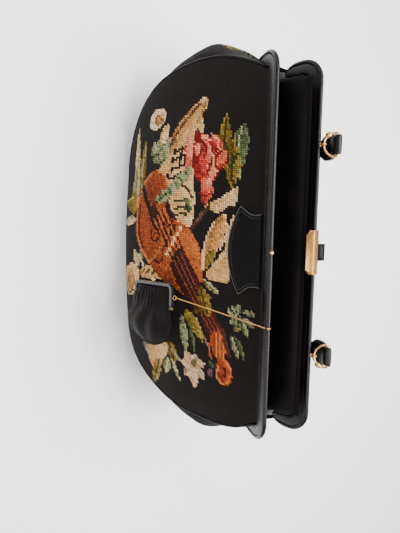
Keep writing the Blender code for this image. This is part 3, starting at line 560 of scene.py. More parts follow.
def leather_material(name="black_leather", base=(7, 6, 6), worn=(22, 19, 17), rough=0.17, gloss=0.20):
    m = Nodes(name)
    pores = m.add("ShaderNodeTexVoronoi", {"feature": "DISTANCE_TO_EDGE"}, Scale=1500.0)
    m.feed(pores, "Vector", m.coordinates())
    grain = m.spread(pores.outputs["Distance"], 0.0, 0.22)
    cloudy = m.noise(60.0, 5.0)
    rub = m.noise(22.0, 3.0)
    height = m.math("ADD", grain, m.math("MULTIPLY", m.noise(420.0, 3.0), 0.8))
    colour = m.mix(m.spread(cloudy, 0.35, 0.75), srgb(*base), srgb(*[c * 1.35 for c in base]))
    # In the tab rim's leather the base and worn colours are a painted highlight; in the other leathers the
    # rubbed patches are real wear.
    colour = m.mix(m.spread(rub, 0.60, 0.80, 0.0, 0.55), colour, srgb(*worn))
    roughness = m.spread(cloudy, 0.3, 0.8, rough - 0.06, rough + 0.14)
    return m.set(Base_Color=colour, Roughness=roughness, Specular_IOR_Level=gloss, Coat_Weight=0.02,
                 Coat_Roughness=0.12, Normal=m.bump(height, 0.00010, 0.40))


def gold_material(name, colour, dull, rough=0.20, brushed=False):
    m = Nodes(name)
    tarnish = m.spread(m.noise(90.0, 6.0, 0.6), 0.52, 0.78)
    base = m.mix(m.math("MULTIPLY", tarnish, 0.6), srgb(*colour), srgb(*dull))
    fine = m.noise(900.0, 3.0, 0.6, m.coordinates((0.05, 1, 1) if brushed else (1, 1, 1)))
    roughness = m.math("ADD", m.spread(tarnish, 0.0, 1.0, rough, rough + 0.2),
                       m.math("MULTIPLY", fine, 0.06))
    return m.set(Base_Color=base, Metallic=1.0, Roughness=roughness, Normal=m.bump(fine, 0.00003, 0.35))


def steel_material(name="dark_steel"):
    m = Nodes(name)
    streak = m.noise(700.0, 3.0, 0.5, m.coordinates((1, 1, 0.08)))
    age = m.spread(m.noise(70.0, 5.0), 0.45, 0.75)
    colour = m.mix(age, srgb(120, 120, 122), srgb(74, 70, 66))
    return m.set(Base_Color=colour, Metallic=1.0, Roughness=m.spread(streak, 0.3, 0.7, 0.28, 0.46),
                 Normal=m.bump(streak, 0.00002, 0.4))


def enamel_material(name="black_enamel"):
    m = Nodes(name)
    cloudy = m.noise(130.0, 4.0)
    colour = m.mix(m.spread(cloudy, 0.4, 0.8), srgb(18, 17, 16), srgb(40, 36, 32))
    return m.set(Base_Color=colour, Roughness=m.spread(cloudy, 0.3, 0.8, 0.22, 0.4), Metallic=0.35,
                 Coat_Weight=0.5,
                 Coat_Roughness=0.18, Normal=m.bump(m.noise(800.0, 3.0), 0.00003, 0.3))


def needlepoint_material(name="needlepoint", colours="stitch"):
    """Slanting wool stitches, one a unit of the cloth's own grid, coloured by an attribute."""
    m = Nodes(name)
    cloth = m.add("ShaderNodeUVMap", {"uv_map": "cloth"}).outputs[0]
    split = m.add("ShaderNodeSeparateXYZ", Vector=cloth)
    u = m.math("SUBTRACT", m.math("FRACT", split.outputs[0]), 0.5)
    v = m.math("SUBTRACT", m.math("FRACT", split.outputs[1]), 0.5)
    along = m.math("ADD", u, v)
    across = m.math("SUBTRACT", u, v)
    far = m.math("ADD", m.math("MULTIPLY", m.math("POWER", m.math("ABSOLUTE", along), 4.0), 1.1),
                 m.math("MULTIPLY", m.math("POWER", m.math("ABSOLUTE", across), 2.0), 3.4))
    dome = m.math("MAXIMUM", m.math("SUBTRACT", 1.0, far), 0.0)
    strand = m.math("MULTIPLY", m.math("SINE", m.math("MULTIPLY", across, 26.0)), 0.06)
    fuzz = m.noise(1400.0, 3.0, 0.7)
    height = m.math("ADD", m.math("ADD", dome, strand), m.math("MULTIPLY", fuzz, 0.25))
    thread = m.add("ShaderNodeAttribute", {"attribute_name": colours}).outputs["Color"]
    # Painted shade and highlight: each stitch's colour falls to 0.16 in the gaps between stitches and rises
    # to 1.16 on its crown; the fuzz adds random tone.
    shade = m.spread(dome, 0.0, 0.75, 0.16, 1.16)
    shade = m.math("MULTIPLY", shade, m.spread(fuzz, 0.3, 0.7, 0.86, 1.14))
    painted_stitch_shade = m.add("ShaderNodeCombineColor", Red=shade, Green=shade, Blue=shade).outputs[0]
    colour = m.mix(1.0, thread, painted_stitch_shade, "MULTIPLY")
    return m.set(Base_Color=colour, Roughness=0.90, Specular_IOR_Level=0.10, Sheen_Weight=0.02,
                 Sheen_Roughness=0.5,
                 Normal=m.bump(height, 0.00045, 0.8))


def woven_material(name, dark, light, scale, rough, sheen, ribs=None):
    """A plain weave; ribs adds a watered ribbed band along the given direction."""
    m = Nodes(name)
    where = m.coordinates()
    weave = m.math("MULTIPLY", *(m.wave(along, scale / 6, 0.6, where) for along in "XZ"))
    cloudy = m.noise(45.0, 4.0)
    height = m.math("MULTIPLY", weave, 0.5)
    factor = m.spread(cloudy, 0.3, 0.75)
    if ribs:
        water = m.noise(55.0, 3.0, 0.6, m.coordinates(ribs["stretch"]))
        rib = m.wave(ribs["along"], ribs["scale"], 2.2, where, Detail=1.0, Detail_Scale=0.6)
        height = m.math("ADD", height, m.math("MULTIPLY", rib, 1.1))
        factor = m.math("MULTIPLY", m.math("ADD", rib, water), 0.5)
    colour = m.mix(factor, srgb(*dark), srgb(*light))
    roughness = m.spread(factor, 0.0, 1.0, rough + 0.1, rough - 0.12)
    return m.set(Base_Color=colour, Roughness=roughness, Specular_IOR_Level=0.06, Sheen_Weight=sheen,
                 Sheen_Roughness=0.4, Normal=m.bump(height, 0.00016, 0.6))


def blackened_material(name="blackened_metal"):
    m = Nodes(name)
    cloudy = m.noise(160.0, 4.0)
    return m.set(Base_Color=m.mix(cloudy, srgb(6, 6, 6), srgb(16, 15, 14)), Specular_IOR_Level=0.12,
                 Roughness=m.spread(cloudy, 0.3, 0.8, 0.45, 0.6),
                 Normal=m.bump(m.noise(700.0, 3.0), 0.00003, 0.3))


def thread_material(name, colour):
    m = Nodes(name)
    twist = m.wave("DIAGONAL", 420.0, 0.4, m.coordinates())
    # Painted shade: the thread's colour darkens in the grooves of its twist, the low bands of the same wave
    # that gives its bump.
    groove_shaded_tone = m.mix(twist, srgb(*[c * 0.7 for c in colour]), srgb(*colour))
    return m.set(Base_Color=groove_shaded_tone, Roughness=0.7, Sheen_Weight=0.2, Normal=m.bump(twist, 0.0001, 0.6))


def board_material(name="greyboard"):
    m = Nodes(name)
    fibre = m.noise(300.0, 6.0, 0.7, m.coordinates((1, 0.35, 1)))
    colour = m.mix(fibre, srgb(120, 106, 86), srgb(158, 142, 118))
    return m.set(Base_Color=colour, Roughness=0.9, Normal=m.bump(fibre, 0.0001, 0.5))


LEATHER = leather_material("black_leather")
TAB_LEATHER = leather_material("tab_leather", (6, 5, 5), (16, 14, 13), 0.32, 0.06)
# Painted highlight: the tab's rolled rim is coloured several times lighter than the tab leather to stand for
# the highlight along its edge.
TAB_RIM_PAINTED_HIGHLIGHT = leather_material("tab_rim_painted_highlight", (24, 22, 20), (84, 76, 66), 0.22, 0.45)
PIPING = leather_material("piping_leather", (8, 7, 7), (20, 17, 15), 0.40, 0.05)
GOLD = gold_material("gilt", (196, 150, 86), (132, 92, 46))
BRUSHED_GOLD = gold_material("clasp_gilt", (182, 136, 74), (122, 84, 40), 0.24, True)
STEEL = steel_material()
ENAMEL = enamel_material()
BLACKENED = blackened_material()
NEEDLEPOINT = needlepoint_material()
LINING_CLOTH = woven_material("lining_cloth", (9, 8, 8), (20, 16, 16), 1500.0, 0.5, 0.02)
MOIRE = woven_material("moire_cloth", (5, 4, 4), (15, 13, 12), 1800.0, 0.46, 0.0,
                       {"along": "X", "scale": 105.0, "stretch": (1.0, 1.0, 3.0)})
THREAD = thread_material("black_thread", (20, 18, 17))
BOARD = board_material()


def dress(obj, material, body=None, nodes=()):
    """Gives a piece its material, its body and the CAD nodes it stands for."""
    obj.data.materials.clear()
    obj.data.materials.append(material)
    if body:
        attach(obj, body)
    if nodes:
        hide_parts(*nodes)
    return obj


dress(purse_chain, GOLD)
dress(over_bar, GOLD)


def follow_frame(obj):
    """Cloth that is still at the hinge; its placement is baked into its mesh."""
    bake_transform(obj)


# ================================================================ floor and light

def stage():
    m = Nodes("pale_floor")
    soft = m.noise(3.0, 2.0)
    floor_material = m.set(Base_Color=m.mix(soft, (0.86, 0.86, 0.86), (0.90, 0.90, 0.90)), Roughness=0.7)
    points = [[(x, y, 0.0) for x in np.linspace(-4, 4, 9)] for y in np.linspace(-4, 4, 9)]
    floor = link("floor", grid_mesh("floor", np.array(points)))
    floor.data.materials.append(floor_material)
    world = bpy.data.worlds.new("studio")
    bpy.context.scene.world = world
    world.use_nodes = True
    world.node_tree.nodes["Background"].inputs["Color"].default_value = (1.0, 1.0, 1.0, 1.0)
    world.node_tree.nodes["Background"].inputs["Strength"].default_value = 0.70
    for name, at, (long, wide), power, colour in (
            ("overhead", (0.0, 0.30, 1.35), (1.5, 1.5), 52.0, (1.0, 0.98, 0.96)),
            ("fill", (0.45, -1.15, 0.95), (0.9, 0.9), 14.0, (1.0, 0.98, 0.96)),
            ("side", (-1.05, -0.35, 0.8), (0.8, 0.8), 8.0, (0.96, 0.98, 1.0)),
            ("strip", (-0.15, 0.26, 1.25), (1.3, 0.07), 15.0, (1.0, 0.98, 0.95))):
        data = bpy.data.lights.new(name, "AREA")
        data.shape = "RECTANGLE"
        data.size = long
        data.size_y = wide
        data.energy = power
        data.color = colour
        lamp = bpy.data.objects.new(name, data)
        bpy.context.scene.collection.objects.link(lamp)
        lamp.location = at
        lamp.rotation_euler = (Vector((0, 0, 0.12)) - Vector(at)).to_track_quat("-Z", "Y").to_euler()


stage()


# ================================================================ the needlepoint picture

LIGHT_WOOL, DARK_WOOL, FADE = 0.76, 0.68, 1.15     # how much light the wool gives back


class Canvas:
    """The colours of a panel's stitches, painted in millimetres: x across, z up."""

    def __init__(self, x, z, ground, vary=0.12):
        self.x, self.z = x / MM, z / MM
        self.grain = random.normal(0.0, 1.0, self.x.shape)
        self.speck = random.normal(0.0, 1.0, self.x.shape)
        self.rgb = np.ones((*self.x.shape, 3)) * np.array(ground) * (1 + vary * self.grain[..., None])

    def lay(self, mask, light, dark=None, shade=None, vary=0.20):
        """Fills the masked stitches; shade runs from 0, light, to 1, dark."""
        light = LIGHT_WOOL * np.array(srgb(*light)) ** FADE
        dark = light if dark is None else DARK_WOOL * np.array(srgb(*dark)) ** FADE
        mixed = np.zeros(self.x.shape) if shade is None else np.clip(shade, 0, 1)
        steps = np.round((mixed + 0.26 * self.grain) * 5) / 5
        steps = np.clip(steps, 0, 1)[..., None]
        colour = light * (1 - steps) + dark * steps
        colour = colour * np.clip(1 + vary * self.speck[..., None], 0.3, 1.8)
        self.rgb = np.where(mask[..., None], colour, self.rgb)

    def inside(self, points):
        """The stitches inside a closed outline through the points."""
        edge = smooth_curve(points, 6, closed=True)
        found = np.zeros(self.x.shape, bool)
        ax, az = edge[:, 0], edge[:, 1]
        bx, bz = np.roll(ax, -1), np.roll(az, -1)
        for x0, z0, x1, z1 in zip(ax, az, bx, bz):
            if z0 == z1:
                continue
            crossing = (z0 > self.z) != (z1 > self.z)
            found ^= crossing & (self.x < (x1 - x0) * (self.z - z0) / (z1 - z0) + x0)
        return found

    def shape(self, points, light, dark=None, towards=None):
        """A filled outline that darkens along the direction towards."""
        mask = self.inside(points)
        shade = None
        if towards is not None and mask.any():
            run = self.x * towards[0] + self.z * towards[1]
            shade = (run - run[mask].min()) / max(1e-6, np.ptp(run[mask]))
        self.lay(mask, light, dark, shade)

    def blob(self, at, size, light, dark=None, turn=0.0, ring=False):
        """An ellipse, darker to its lower right or, with ring, towards its rim."""
        c, s = math.cos(math.radians(turn)), math.sin(math.radians(turn))
        dx, dz = self.x - at[0], self.z - at[1]
        a, b = (dx * c + dz * s) / (size[0] / 2), (dz * c - dx * s) / (size[1] / 2)
        far = a * a + b * b
        shade = far if ring else (a - b) / 2 + 0.5
        self.lay(far < 1, light, dark, shade)

    def stroke(self, points, width, colour, dark=None):
        """A line of stitches."""
        line = smooth_curve(points, 6) if len(points) > 2 else np.array(points, float)
        near = np.full(self.x.shape, 1e9)
        for (x0, z0), (x1, z1) in zip(line[:-1], line[1:]):
            length = max(1e-9, (x1 - x0) ** 2 + (z1 - z0) ** 2)
            t = np.clip(((self.x - x0) * (x1 - x0) + (self.z - z0) * (z1 - z0)) / length, 0, 1)
            near = np.minimum(near, np.hypot(self.x - x0 - t * (x1 - x0), self.z - z0 - t * (z1 - z0)))
        self.lay(near < width / 2, colour, dark, near / (width / 2))

    def leaf(self, base, tip, width, light, dark, bend=0.0, vein=None, teeth=0, fullest=0.45):
        """A pointed leaf: one half in the light, a vein, and a toothed edge if asked."""
        (x0, z0), (x1, z1) = base, tip
        long = math.hypot(x1 - x0, z1 - z0)
        c, s = (x1 - x0) / long, (z1 - z0) / long
        t = ((self.x - x0) * c + (self.z - z0) * s) / long
        off = (self.z - z0) * c - (self.x - x0) * s - bend * 4 * t * (1 - t)
        inner = np.clip(t, 0, 1)
        half = width / 2 * np.sin(math.pi * inner ** (math.log(0.5) / math.log(fullest))) ** 0.8
        if teeth:
            half = half * (0.76 + 0.34 * np.abs(np.sin(math.pi * teeth * inner)))
        mask = (t > 0) & (t < 1) & (np.abs(off) < half)
        shade = 0.5 - 0.5 * off / np.maximum(half, 1e-6) + 0.25 * (0.5 - inner)
        self.lay(mask, light, dark, shade)
        if vein:
            self.lay(mask & (np.abs(off) < 1.1) & (t < 0.92), vein)


SAGE, PALE_SAGE, MOSS = (106, 114, 76), (164, 162, 122), (48, 64, 34)
OLIVE, MUSTARD, BRONZE = (108, 84, 20), (146, 122, 48), (72, 50, 10)
CREAM, BISQUE, TAN, UMBER = (228, 192, 140), (204, 158, 98), (162, 110, 56), (84, 48, 20)
CORAL, PEACH, BLUSH, CRIMSON = (204, 82, 60), (216, 112, 82), (230, 156, 124), (132, 26, 24)
RUST, AMBER, CHESTNUT, MAROON = (130, 56, 20), (178, 92, 40), (66, 26, 10), (50, 16, 12)
INK = (36, 24, 16)


def paint_leaves_and_rose(c):
    c.leaf((-133, 199), (-76, 191), 14, SAGE, MOSS, bend=2, teeth=5)
    c.leaf((-108, 188), (-130, 198), 9, (104, 116, 70), MOSS, teeth=3)
    c.leaf((-104, 191), (-74, 196), 8, (150, 152, 108), SAGE, teeth=4)
    c.stroke([(-128, 196), (-100, 192), (-84, 191)], 2.2, (150, 156, 112))
    c.leaf((-118, 186), (-64, 189), 17, MUSTARD, OLIVE, teeth=6, vein=BRONZE)
    c.leaf((-90, 184), (-144, 179), 14, MUSTARD, OLIVE, bend=2, teeth=6, vein=BRONZE)
    c.leaf((-98, 182), (-124, 173), 9, OLIVE, MOSS, teeth=3)
    c.stroke([(-100, 192), (-88, 186)], 4, MOSS)
    rose = [(-120, 170), (-113, 177), (-101, 178), (-93, 182), (-86, 177), (-80, 171), (-72, 166),
            (-72, 157), (-78, 151), (-90, 145), (-101, 143), (-112, 144), (-124, 148), (-126, 154),
            (-120, 160)]
    c.shape(rose, CORAL, CRIMSON, (0.3, -1.0))
    c.blob((-113, 170), (20, 12), CORAL, CRIMSON, 20)
    c.stroke([(-124, 164), (-116, 172), (-104, 174)], 2.2, BLUSH)
    c.blob((-95, 175), (24, 15), PEACH, CORAL, -15)
    c.blob((-82, 168), (22, 9), BLUSH, CORAL, -25)
    c.blob((-98, 163), (40, 7), BLUSH, CORAL, -4)
    c.stroke([(-122, 160), (-108, 166), (-92, 165), (-78, 160)], 2.6, CRIMSON)
    c.blob((-91, 153), (38, 17), CORAL, CRIMSON, 6)
    c.blob((-118, 156), (13, 12), BLUSH, CORAL, 30)
    c.stroke([(-112, 160), (-98, 158), (-84, 160), (-77, 157)], 2.4, (190, 70, 50))
    c.stroke([(-108, 155), (-98, 151), (-88, 152)], 2.4, CRIMSON)
    c.stroke([(-106, 178), (-98, 170), (-86, 172)], 2.2, CRIMSON)
    c.stroke([(-92, 181), (-84, 174), (-76, 170)], 2.2, (122, 24, 22))
    c.stroke([(-104, 166), (-94, 169), (-82, 166)], 2.2, BLUSH)
    c.stroke([(-118, 153), (-108, 160), (-100, 158)], 2.2, (122, 24, 22))
    c.blob((-122, 148), (18, 8), CRIMSON, (110, 22, 20), 10)
    c.blob((-99, 146), (20, 7), CRIMSON, (120, 24, 20), 4)
    c.blob((-108, 149), (14, 6), BLUSH, PEACH)
    c.blob((-104, 139), (44, 10), BLUSH, CORAL, 3)
    c.blob((-66, 161), (24, 15), PEACH, CORAL, 8)
    c.blob((-56, 159), (15, 10), CORAL, CRIMSON, -10)
    c.blob((-70, 163), (12, 7), BLUSH, PEACH)
    c.stroke([(-62, 166), (-57, 160), (-60, 154)], 2.4, CRIMSON)


def paint_sheet_music(c):
    page = [(-162, 152), (-153, 154), (-148, 150), (-125, 155), (-112, 148), (-90, 145), (-60, 147),
            (-40, 146), (-24, 141), (-24, 130), (-44, 116), (-66, 108), (-84, 95), (-93, 99), (-100, 106),
            (-115, 108), (-130, 114), (-148, 127), (-160, 141)]
    c.shape(page, CREAM, BISQUE, (-0.6, -1.0))
    roll = [(-166, 151), (-160, 154), (-154, 149), (-138, 138), (-120, 124), (-104, 112), (-112, 106),
            (-128, 113), (-146, 126), (-160, 140)]
    c.shape(roll, BISQUE, TAN, (-0.5, -1.0))
    c.stroke([(-160, 146), (-144, 131), (-128, 119), (-112, 110)], 2.6, UMBER)
    c.stroke([(-164, 149), (-150, 150), (-138, 144)], 2.4, TAN)
    c.blob((-160, 149), (12, 9), CREAM, TAN, 30)
    for k in range(4):
        c.stroke([(-126 + 3 * k, 139 - 7 * k), (-92 + 2 * k, 137 - 7 * k)], 1.7, (190, 150, 104))
    for x, z in ((-112, 121), (-103, 119), (-92, 118)):
        c.stroke([(x, z + 15), (x + 4, z)], 2.5, INK)
        c.blob((x + 4, z - 1), (7, 4.5), INK)
    c.stroke([(-113, 136), (-91, 135)], 3.2, INK)
    c.stroke([(-112, 129), (-91, 128)], 2.6, INK)
    c.stroke([(-84, 130), (-78, 118), (-80, 112)], 2.5, INK)
    c.blob((-81, 111), (7, 4.5), INK)
    c.shape([(-70, 130), (-62, 141), (-44, 144), (-28, 140), (-26, 131), (-40, 120), (-56, 116), (-66, 122)],
            CREAM, BISQUE, (0.4, -1.0))
    c.stroke([(-72, 128), (-66, 138), (-56, 144)], 2.2, UMBER)
    c.stroke([(-66, 116), (-52, 113), (-40, 117), (-30, 124)], 2.2, UMBER)
    for x in (-54, -46, -39):
        c.stroke([(x, 134), (x + 2, 121)], 2.4, (52, 46, 28))
        c.blob((x + 1, 135), (5, 4), (70, 72, 44))
    c.blob((-62, 126), (14, 12), (214, 168, 116), BISQUE)
    c.blob((-47, 139), (16, 7), SAGE, MOSS, 10)


def paint_ivy_and_calla(c):
    for at, size, turn in (((-84, 139), (14, 10), -30), ((-78, 131), (13, 13), 0),
                           ((-71, 125), (13, 12), 20), ((-66, 117), (14, 13), -20),
                           ((-60, 108), (15, 12), 30), ((-55, 99), (11, 14), 10)):
        c.blob(at, size, PALE_SAGE, SAGE, turn)
        c.blob((at[0] + 2, at[1] - 2), (size[0] * 0.45, size[1] * 0.4), SAGE, MOSS, turn)
    c.leaf((-62, 112), (-50, 92), 9, PALE_SAGE, SAGE, vein=MOSS)
    for at, size, turn in (((-120, 107), (13, 10), 20), ((-108, 104), (20, 13), -10),
                           ((-118, 95), (14, 14), 0), ((-106, 92), (20, 16), 10),
                           ((-114, 84), (18, 10), -10), ((-99, 100), (12, 10), 0)):
        c.blob(at, size, PALE_SAGE, SAGE, turn)
    c.blob((-121, 103), (10, 6), MUSTARD, OLIVE)
    c.stroke([(-118, 100), (-108, 94), (-98, 98)], 2.4, SAGE)
    c.stroke([(-108, 94), (-106, 84)], 2.4, MOSS)
    c.stroke([(-100, 106), (-94, 92)], 2.2, (44, 50, 30))
    c.leaf((-142, 104), (-118, 96), 13, CREAM, BISQUE)
    c.stroke([(-134, 98), (-120, 102)], 3.0, (232, 206, 176))
    c.blob((-150, 84), (25, 29), CREAM, (232, 208, 180), 15, ring=True)
    c.blob((-149, 87), (14, 15), (214, 172, 116), TAN, 20)
    c.stroke([(-154, 84), (-146, 95)], 2.2, OLIVE)
    c.stroke([(-153, 80), (-146, 82)], 2.2, UMBER)


def paint_lower_leaves(c):
    c.leaf((-42, 57), (-128, 66), 15, MUSTARD, OLIVE, bend=-3, vein=PALE_SAGE)
    c.leaf((-60, 58), (-146, 46), 13, CREAM, PALE_SAGE, bend=2)
    c.leaf((-40, 60), (-88, 62), 12, PALE_SAGE, SAGE, bend=-2, vein=OLIVE)
    c.leaf((-46, 48), (-98, 50), 11, PALE_SAGE, OLIVE)
    c.shape([(-68, 50), (-58, 36), (-54, 18), (-46, 30), (-38, 52), (-52, 56)], MUSTARD, OLIVE, (0, -1))
    c.stroke([(-58, 46), (-54, 24)], 3.0, (190, 172, 90))
    c.stroke([(-48, 48), (-50, 32)], 2.4, OLIVE)
    c.leaf((-32, 56), (-27, 20), 12, CREAM, PALE_SAGE)
    c.leaf((26, 62), (6, 50), 13, CREAM, PALE_SAGE)
    c.leaf((22, 66), (4, 66), 8, PALE_SAGE, OLIVE)
    c.shape([(24, 52), (34, 64), (50, 62), (64, 48), (66, 32), (56, 18), (40, 16), (28, 32)], CREAM, BISQUE,
            (0.3, -1))
    c.blob((46, 42), (24, 24), BISQUE, TAN)
    c.stroke([(34, 46), (46, 53), (58, 46)], 2.6, TAN)
    c.stroke([(58, 50), (62, 36), (52, 26)], 2.6, UMBER)
    c.shape([(27, 108), (38, 107), (40, 74), (34, 66), (25, 74), (24, 90)], CREAM, BISQUE, (0.3, -1))
    for z in (102, 92, 82, 74):
        c.stroke([(30, z), (34, z - 5)], 2.2, UMBER)
    c.stroke([(26, 72), (14, 64)], 3.6, CREAM)


def paint_petals(c):
    c.shape([(-66, 194), (-49, 193), (-46, 184), (-40, 176), (-43, 161), (-48, 161), (-54, 174), (-60, 183)],
            (222, 186, 142), BISQUE, (0.2, -1.0))
    c.stroke([(-58, 188), (-46, 168)], 2.0, (198, 152, 100))
    c.shape([(-40, 194), (-18, 189), (2, 191), (18, 190), (33, 190), (36, 178), (33, 166), (25, 164),
             (10, 176), (-2, 184), (-20, 185)], CREAM, BISQUE, (0.4, -1.0))
    c.shape([(-34, 186), (-20, 183), (-2, 181), (10, 172), (22, 162), (8, 170), (-8, 176), (-24, 180)],
            (20, 15, 12))
    c.shape([(8, 186), (24, 186), (30, 176), (26, 168), (14, 176)], (206, 160, 104), BISQUE, (-1, 0.4))
    c.leaf((-38, 181), (20, 159), 18, (214, 162, 98), TAN, bend=1, fullest=0.42)
    c.stroke([(-38, 182), (-18, 185), (0, 178)], 2.6, CREAM)
    c.stroke([(-30, 170), (-12, 162), (6, 158)], 2.4, CREAM)
    c.leaf((0, 172), (24, 158), 11, MUSTARD, OLIVE, teeth=3)
    c.stroke([(2, 158), (22, 158)], 4.0, (222, 178, 132))
    c.stroke([(-46, 163), (-36, 155), (-26, 146), (-16, 138)], 5.0, (74, 46, 38))
    c.stroke([(-40, 156), (-28, 148)], 2.4, (118, 82, 66))


def paint_violin(c):
    body = [(-24, 137), (-14, 146), (0, 154), (18, 157), (34, 158), (46, 154), (54, 140), (50, 126),
            (42, 116), (40, 104), (30, 92), (18, 78), (2, 62), (-12, 55), (-32, 56), (-50, 62), (-64, 66),
            (-78, 72), (-88, 86), (-88, 98), (-80, 108), (-68, 112), (-54, 108), (-38, 112), (-30, 124)]
    c.shape(body, AMBER, RUST, (0.2, -1.0))
    c.shape([(-20, 138), (-6, 150), (14, 155), (30, 156), (36, 148), (16, 144), (-2, 134)], (194, 112, 56),
            AMBER, (0.6, -0.6))
    c.blob((-8, 132), (22, 14), (190, 110, 56), AMBER, 35)
    c.shape([(24, 130), (40, 134), (46, 122), (40, 108), (28, 110)], (176, 92, 42), RUST, (0.4, -1.0))
    c.blob((-68, 92), (38, 30), (152, 72, 30), (124, 54, 20), 10)
    c.stroke([(-88, 96), (-82, 107), (-70, 112), (-54, 108)], 2.6, (198, 130, 78))
    c.stroke([(-86, 86), (-78, 74), (-64, 68)], 2.6, (190, 120, 68))
    c.shape([(-74, 70), (-60, 78), (-46, 86), (-34, 94), (-20, 100), (-28, 88), (-46, 78), (-62, 70)],
            (28, 18, 12))
    c.blob((-34, 91), (30, 14), (64, 34, 22), (40, 20, 14), 8)
    c.shape([(-62, 66), (-44, 76), (-20, 82), (4, 80), (14, 74), (0, 62), (-14, 56), (-34, 57), (-50, 62)],
            (168, 82, 32), RUST, (0.2, -1.0))
    c.stroke([(-60, 64), (-40, 58), (-14, 58), (6, 68), (20, 82)], 2.6, (194, 122, 70))
    c.stroke([(-50, 66), (-30, 63), (-10, 64), (4, 72)], 2.2, CHESTNUT)
    for k, drop in enumerate((0.0, 5.0, 10.0, 15.0)):
        c.stroke([(-46 + drop * 0.8, 108 - drop), (46 + drop * 0.5, 153 - drop)], 2.2, CHESTNUT)
        c.stroke([(-44 + drop * 0.8, 105.4 - drop), (44 + drop * 0.5, 149.6 - drop)], 2.0, (184, 104, 52))
    neck = [(0, 128), (22, 146), (46, 160), (72, 174), (94, 182), (100, 166), (80, 156), (62, 144),
            (44, 128), (20, 116)]
    c.shape(neck, (84, 34, 22), MAROON, (0.2, -1.0))
    for k in range(3):
        c.stroke([(6 + 5 * k, 129 - 4 * k), (90 + 2 * k, 178 - 4 * k)], 1.8, (124, 66, 44))
    for x, z in ((-21, 128), (-15, 124), (-9, 120), (-3, 117), (3, 114), (9, 110)):
        c.blob((x, z), (6, 5), CREAM, BISQUE)
    c.stroke([(-26, 122), (-12, 113), (4, 104)], 2.4, CHESTNUT)
    c.stroke([(-40, 118), (-32, 120), (-24, 112), (-28, 104)], 2.2, CHESTNUT)
    c.stroke([(-20, 96), (-12, 98), (-6, 92), (-10, 86), (-18, 86)], 2.4, CHESTNUT)
    c.stroke([(14, 104), (20, 98), (16, 90), (22, 84)], 2.4, CHESTNUT)
    c.stroke([(0, 100), (12, 92), (20, 82)], 2.2, (186, 110, 56))


def paint_scroll(c):
    c.leaf((88, 177), (126, 178), 20, (180, 88, 40), RUST)
    c.blob((135, 184), (32, 19), (174, 80, 30), RUST, 12)
    c.stroke([(122, 184), (130, 191), (144, 189), (149, 181), (142, 175), (130, 177)], 2.6, (204, 120, 62))
    c.stroke([(130, 184), (138, 186), (142, 181)], 2.4, CHESTNUT)
    for k in range(3):
        c.stroke([(92, 174 + 4 * k), (120, 174 + 4.5 * k)], 2.0, (196, 118, 66))
    c.stroke([(96, 170), (112, 166), (122, 168)], 3.0, (170, 76, 34))
    c.stroke([(88, 182), (104, 186), (116, 190)], 4.5, (86, 48, 36))
    c.stroke([(84, 150), (100, 160), (112, 166)], 2.4, (138, 98, 84))
    c.blob((130, 168), (8, 6), (74, 88, 66), MOSS)
    c.blob((140, 166), (10, 7), (122, 84, 86), (84, 56, 60))


def paint_right_spray(c):
    for base, tip, width in (((66, 206), (66, 220), 8), ((72, 206), (80, 218), 9),
                             ((76, 204), (92, 212), 10), ((78, 202), (88, 196), 11),
                             ((76, 200), (78, 190), 10), ((70, 200), (60, 194), 10),
                             ((68, 202), (56, 201), 7), ((70, 196), (62, 188), 7)):
        c.leaf(base, tip, width * 0.86, (158, 156, 118), MOSS, teeth=2)
    c.blob((74, 202), (9, 7), SAGE, MOSS)
    c.blob((84, 199), (5, 4), MUSTARD)
    c.leaf((91, 194), (118, 207), 6, SAGE, MOSS, bend=2, teeth=5)
    c.leaf((92, 191), (120, 202), 7, (158, 156, 118), MOSS, teeth=5)
    c.leaf((34, 158), (50, 180), 7, PALE_SAGE, OLIVE)
    c.leaf((42, 156), (76, 166), 16, MUSTARD, OLIVE, vein=BRONZE, teeth=4)
    c.leaf((60, 162), (74, 146), 9, OLIVE, BRONZE)
    c.leaf((70, 137), (106, 159), 14, (172, 150, 72), OLIVE, teeth=7)
    c.leaf((76, 134), (92, 154), 8, MUSTARD, OLIVE, teeth=4)
    c.leaf((78, 132), (124, 136), 11, PALE_SAGE, SAGE, teeth=6)
    c.leaf((80, 141), (122, 148), 5, SAGE, MOSS)
    for tip, width in (((131, 160), 11), ((150, 159), 12), ((163, 144), 12), ((152, 132), 12),
                       ((136, 128), 12), ((122, 134), 11), ((121, 149), 9)):
        c.leaf((134, 144), tip, width, (226, 190, 154), (176, 138, 104), fullest=0.55)
    c.blob((132, 146), (10, 8), SAGE, OLIVE)
    c.stroke([(134, 130), (130, 114)], 4.0, CREAM)
    c.leaf((112, 111), (140, 118), 15, MUSTARD, OLIVE, vein=BRONZE)
    c.leaf((132, 112), (162, 124), 6, (206, 186, 152), SAGE)
    c.leaf((134, 108), (156, 101), 12, PALE_SAGE, SAGE, vein=CREAM)
    c.leaf((120, 112), (136, 127), 7, PALE_SAGE, OLIVE)
    c.shape([(116, 108), (128, 107), (138, 99), (148, 92), (152, 76), (136, 70), (120, 76)],
            CREAM, BISQUE, (0.2, -1.0))
    c.leaf((140, 92), (176, 72), 15, (176, 160, 84), OLIVE, vein=BRONZE, teeth=5)
    c.stroke([(122, 84), (138, 88), (150, 84)], 2.2, (190, 142, 100))
    c.leaf((116, 66), (142, 72), 8, (176, 164, 146), (112, 104, 92))


GROUND = srgb(15, 10, 9)


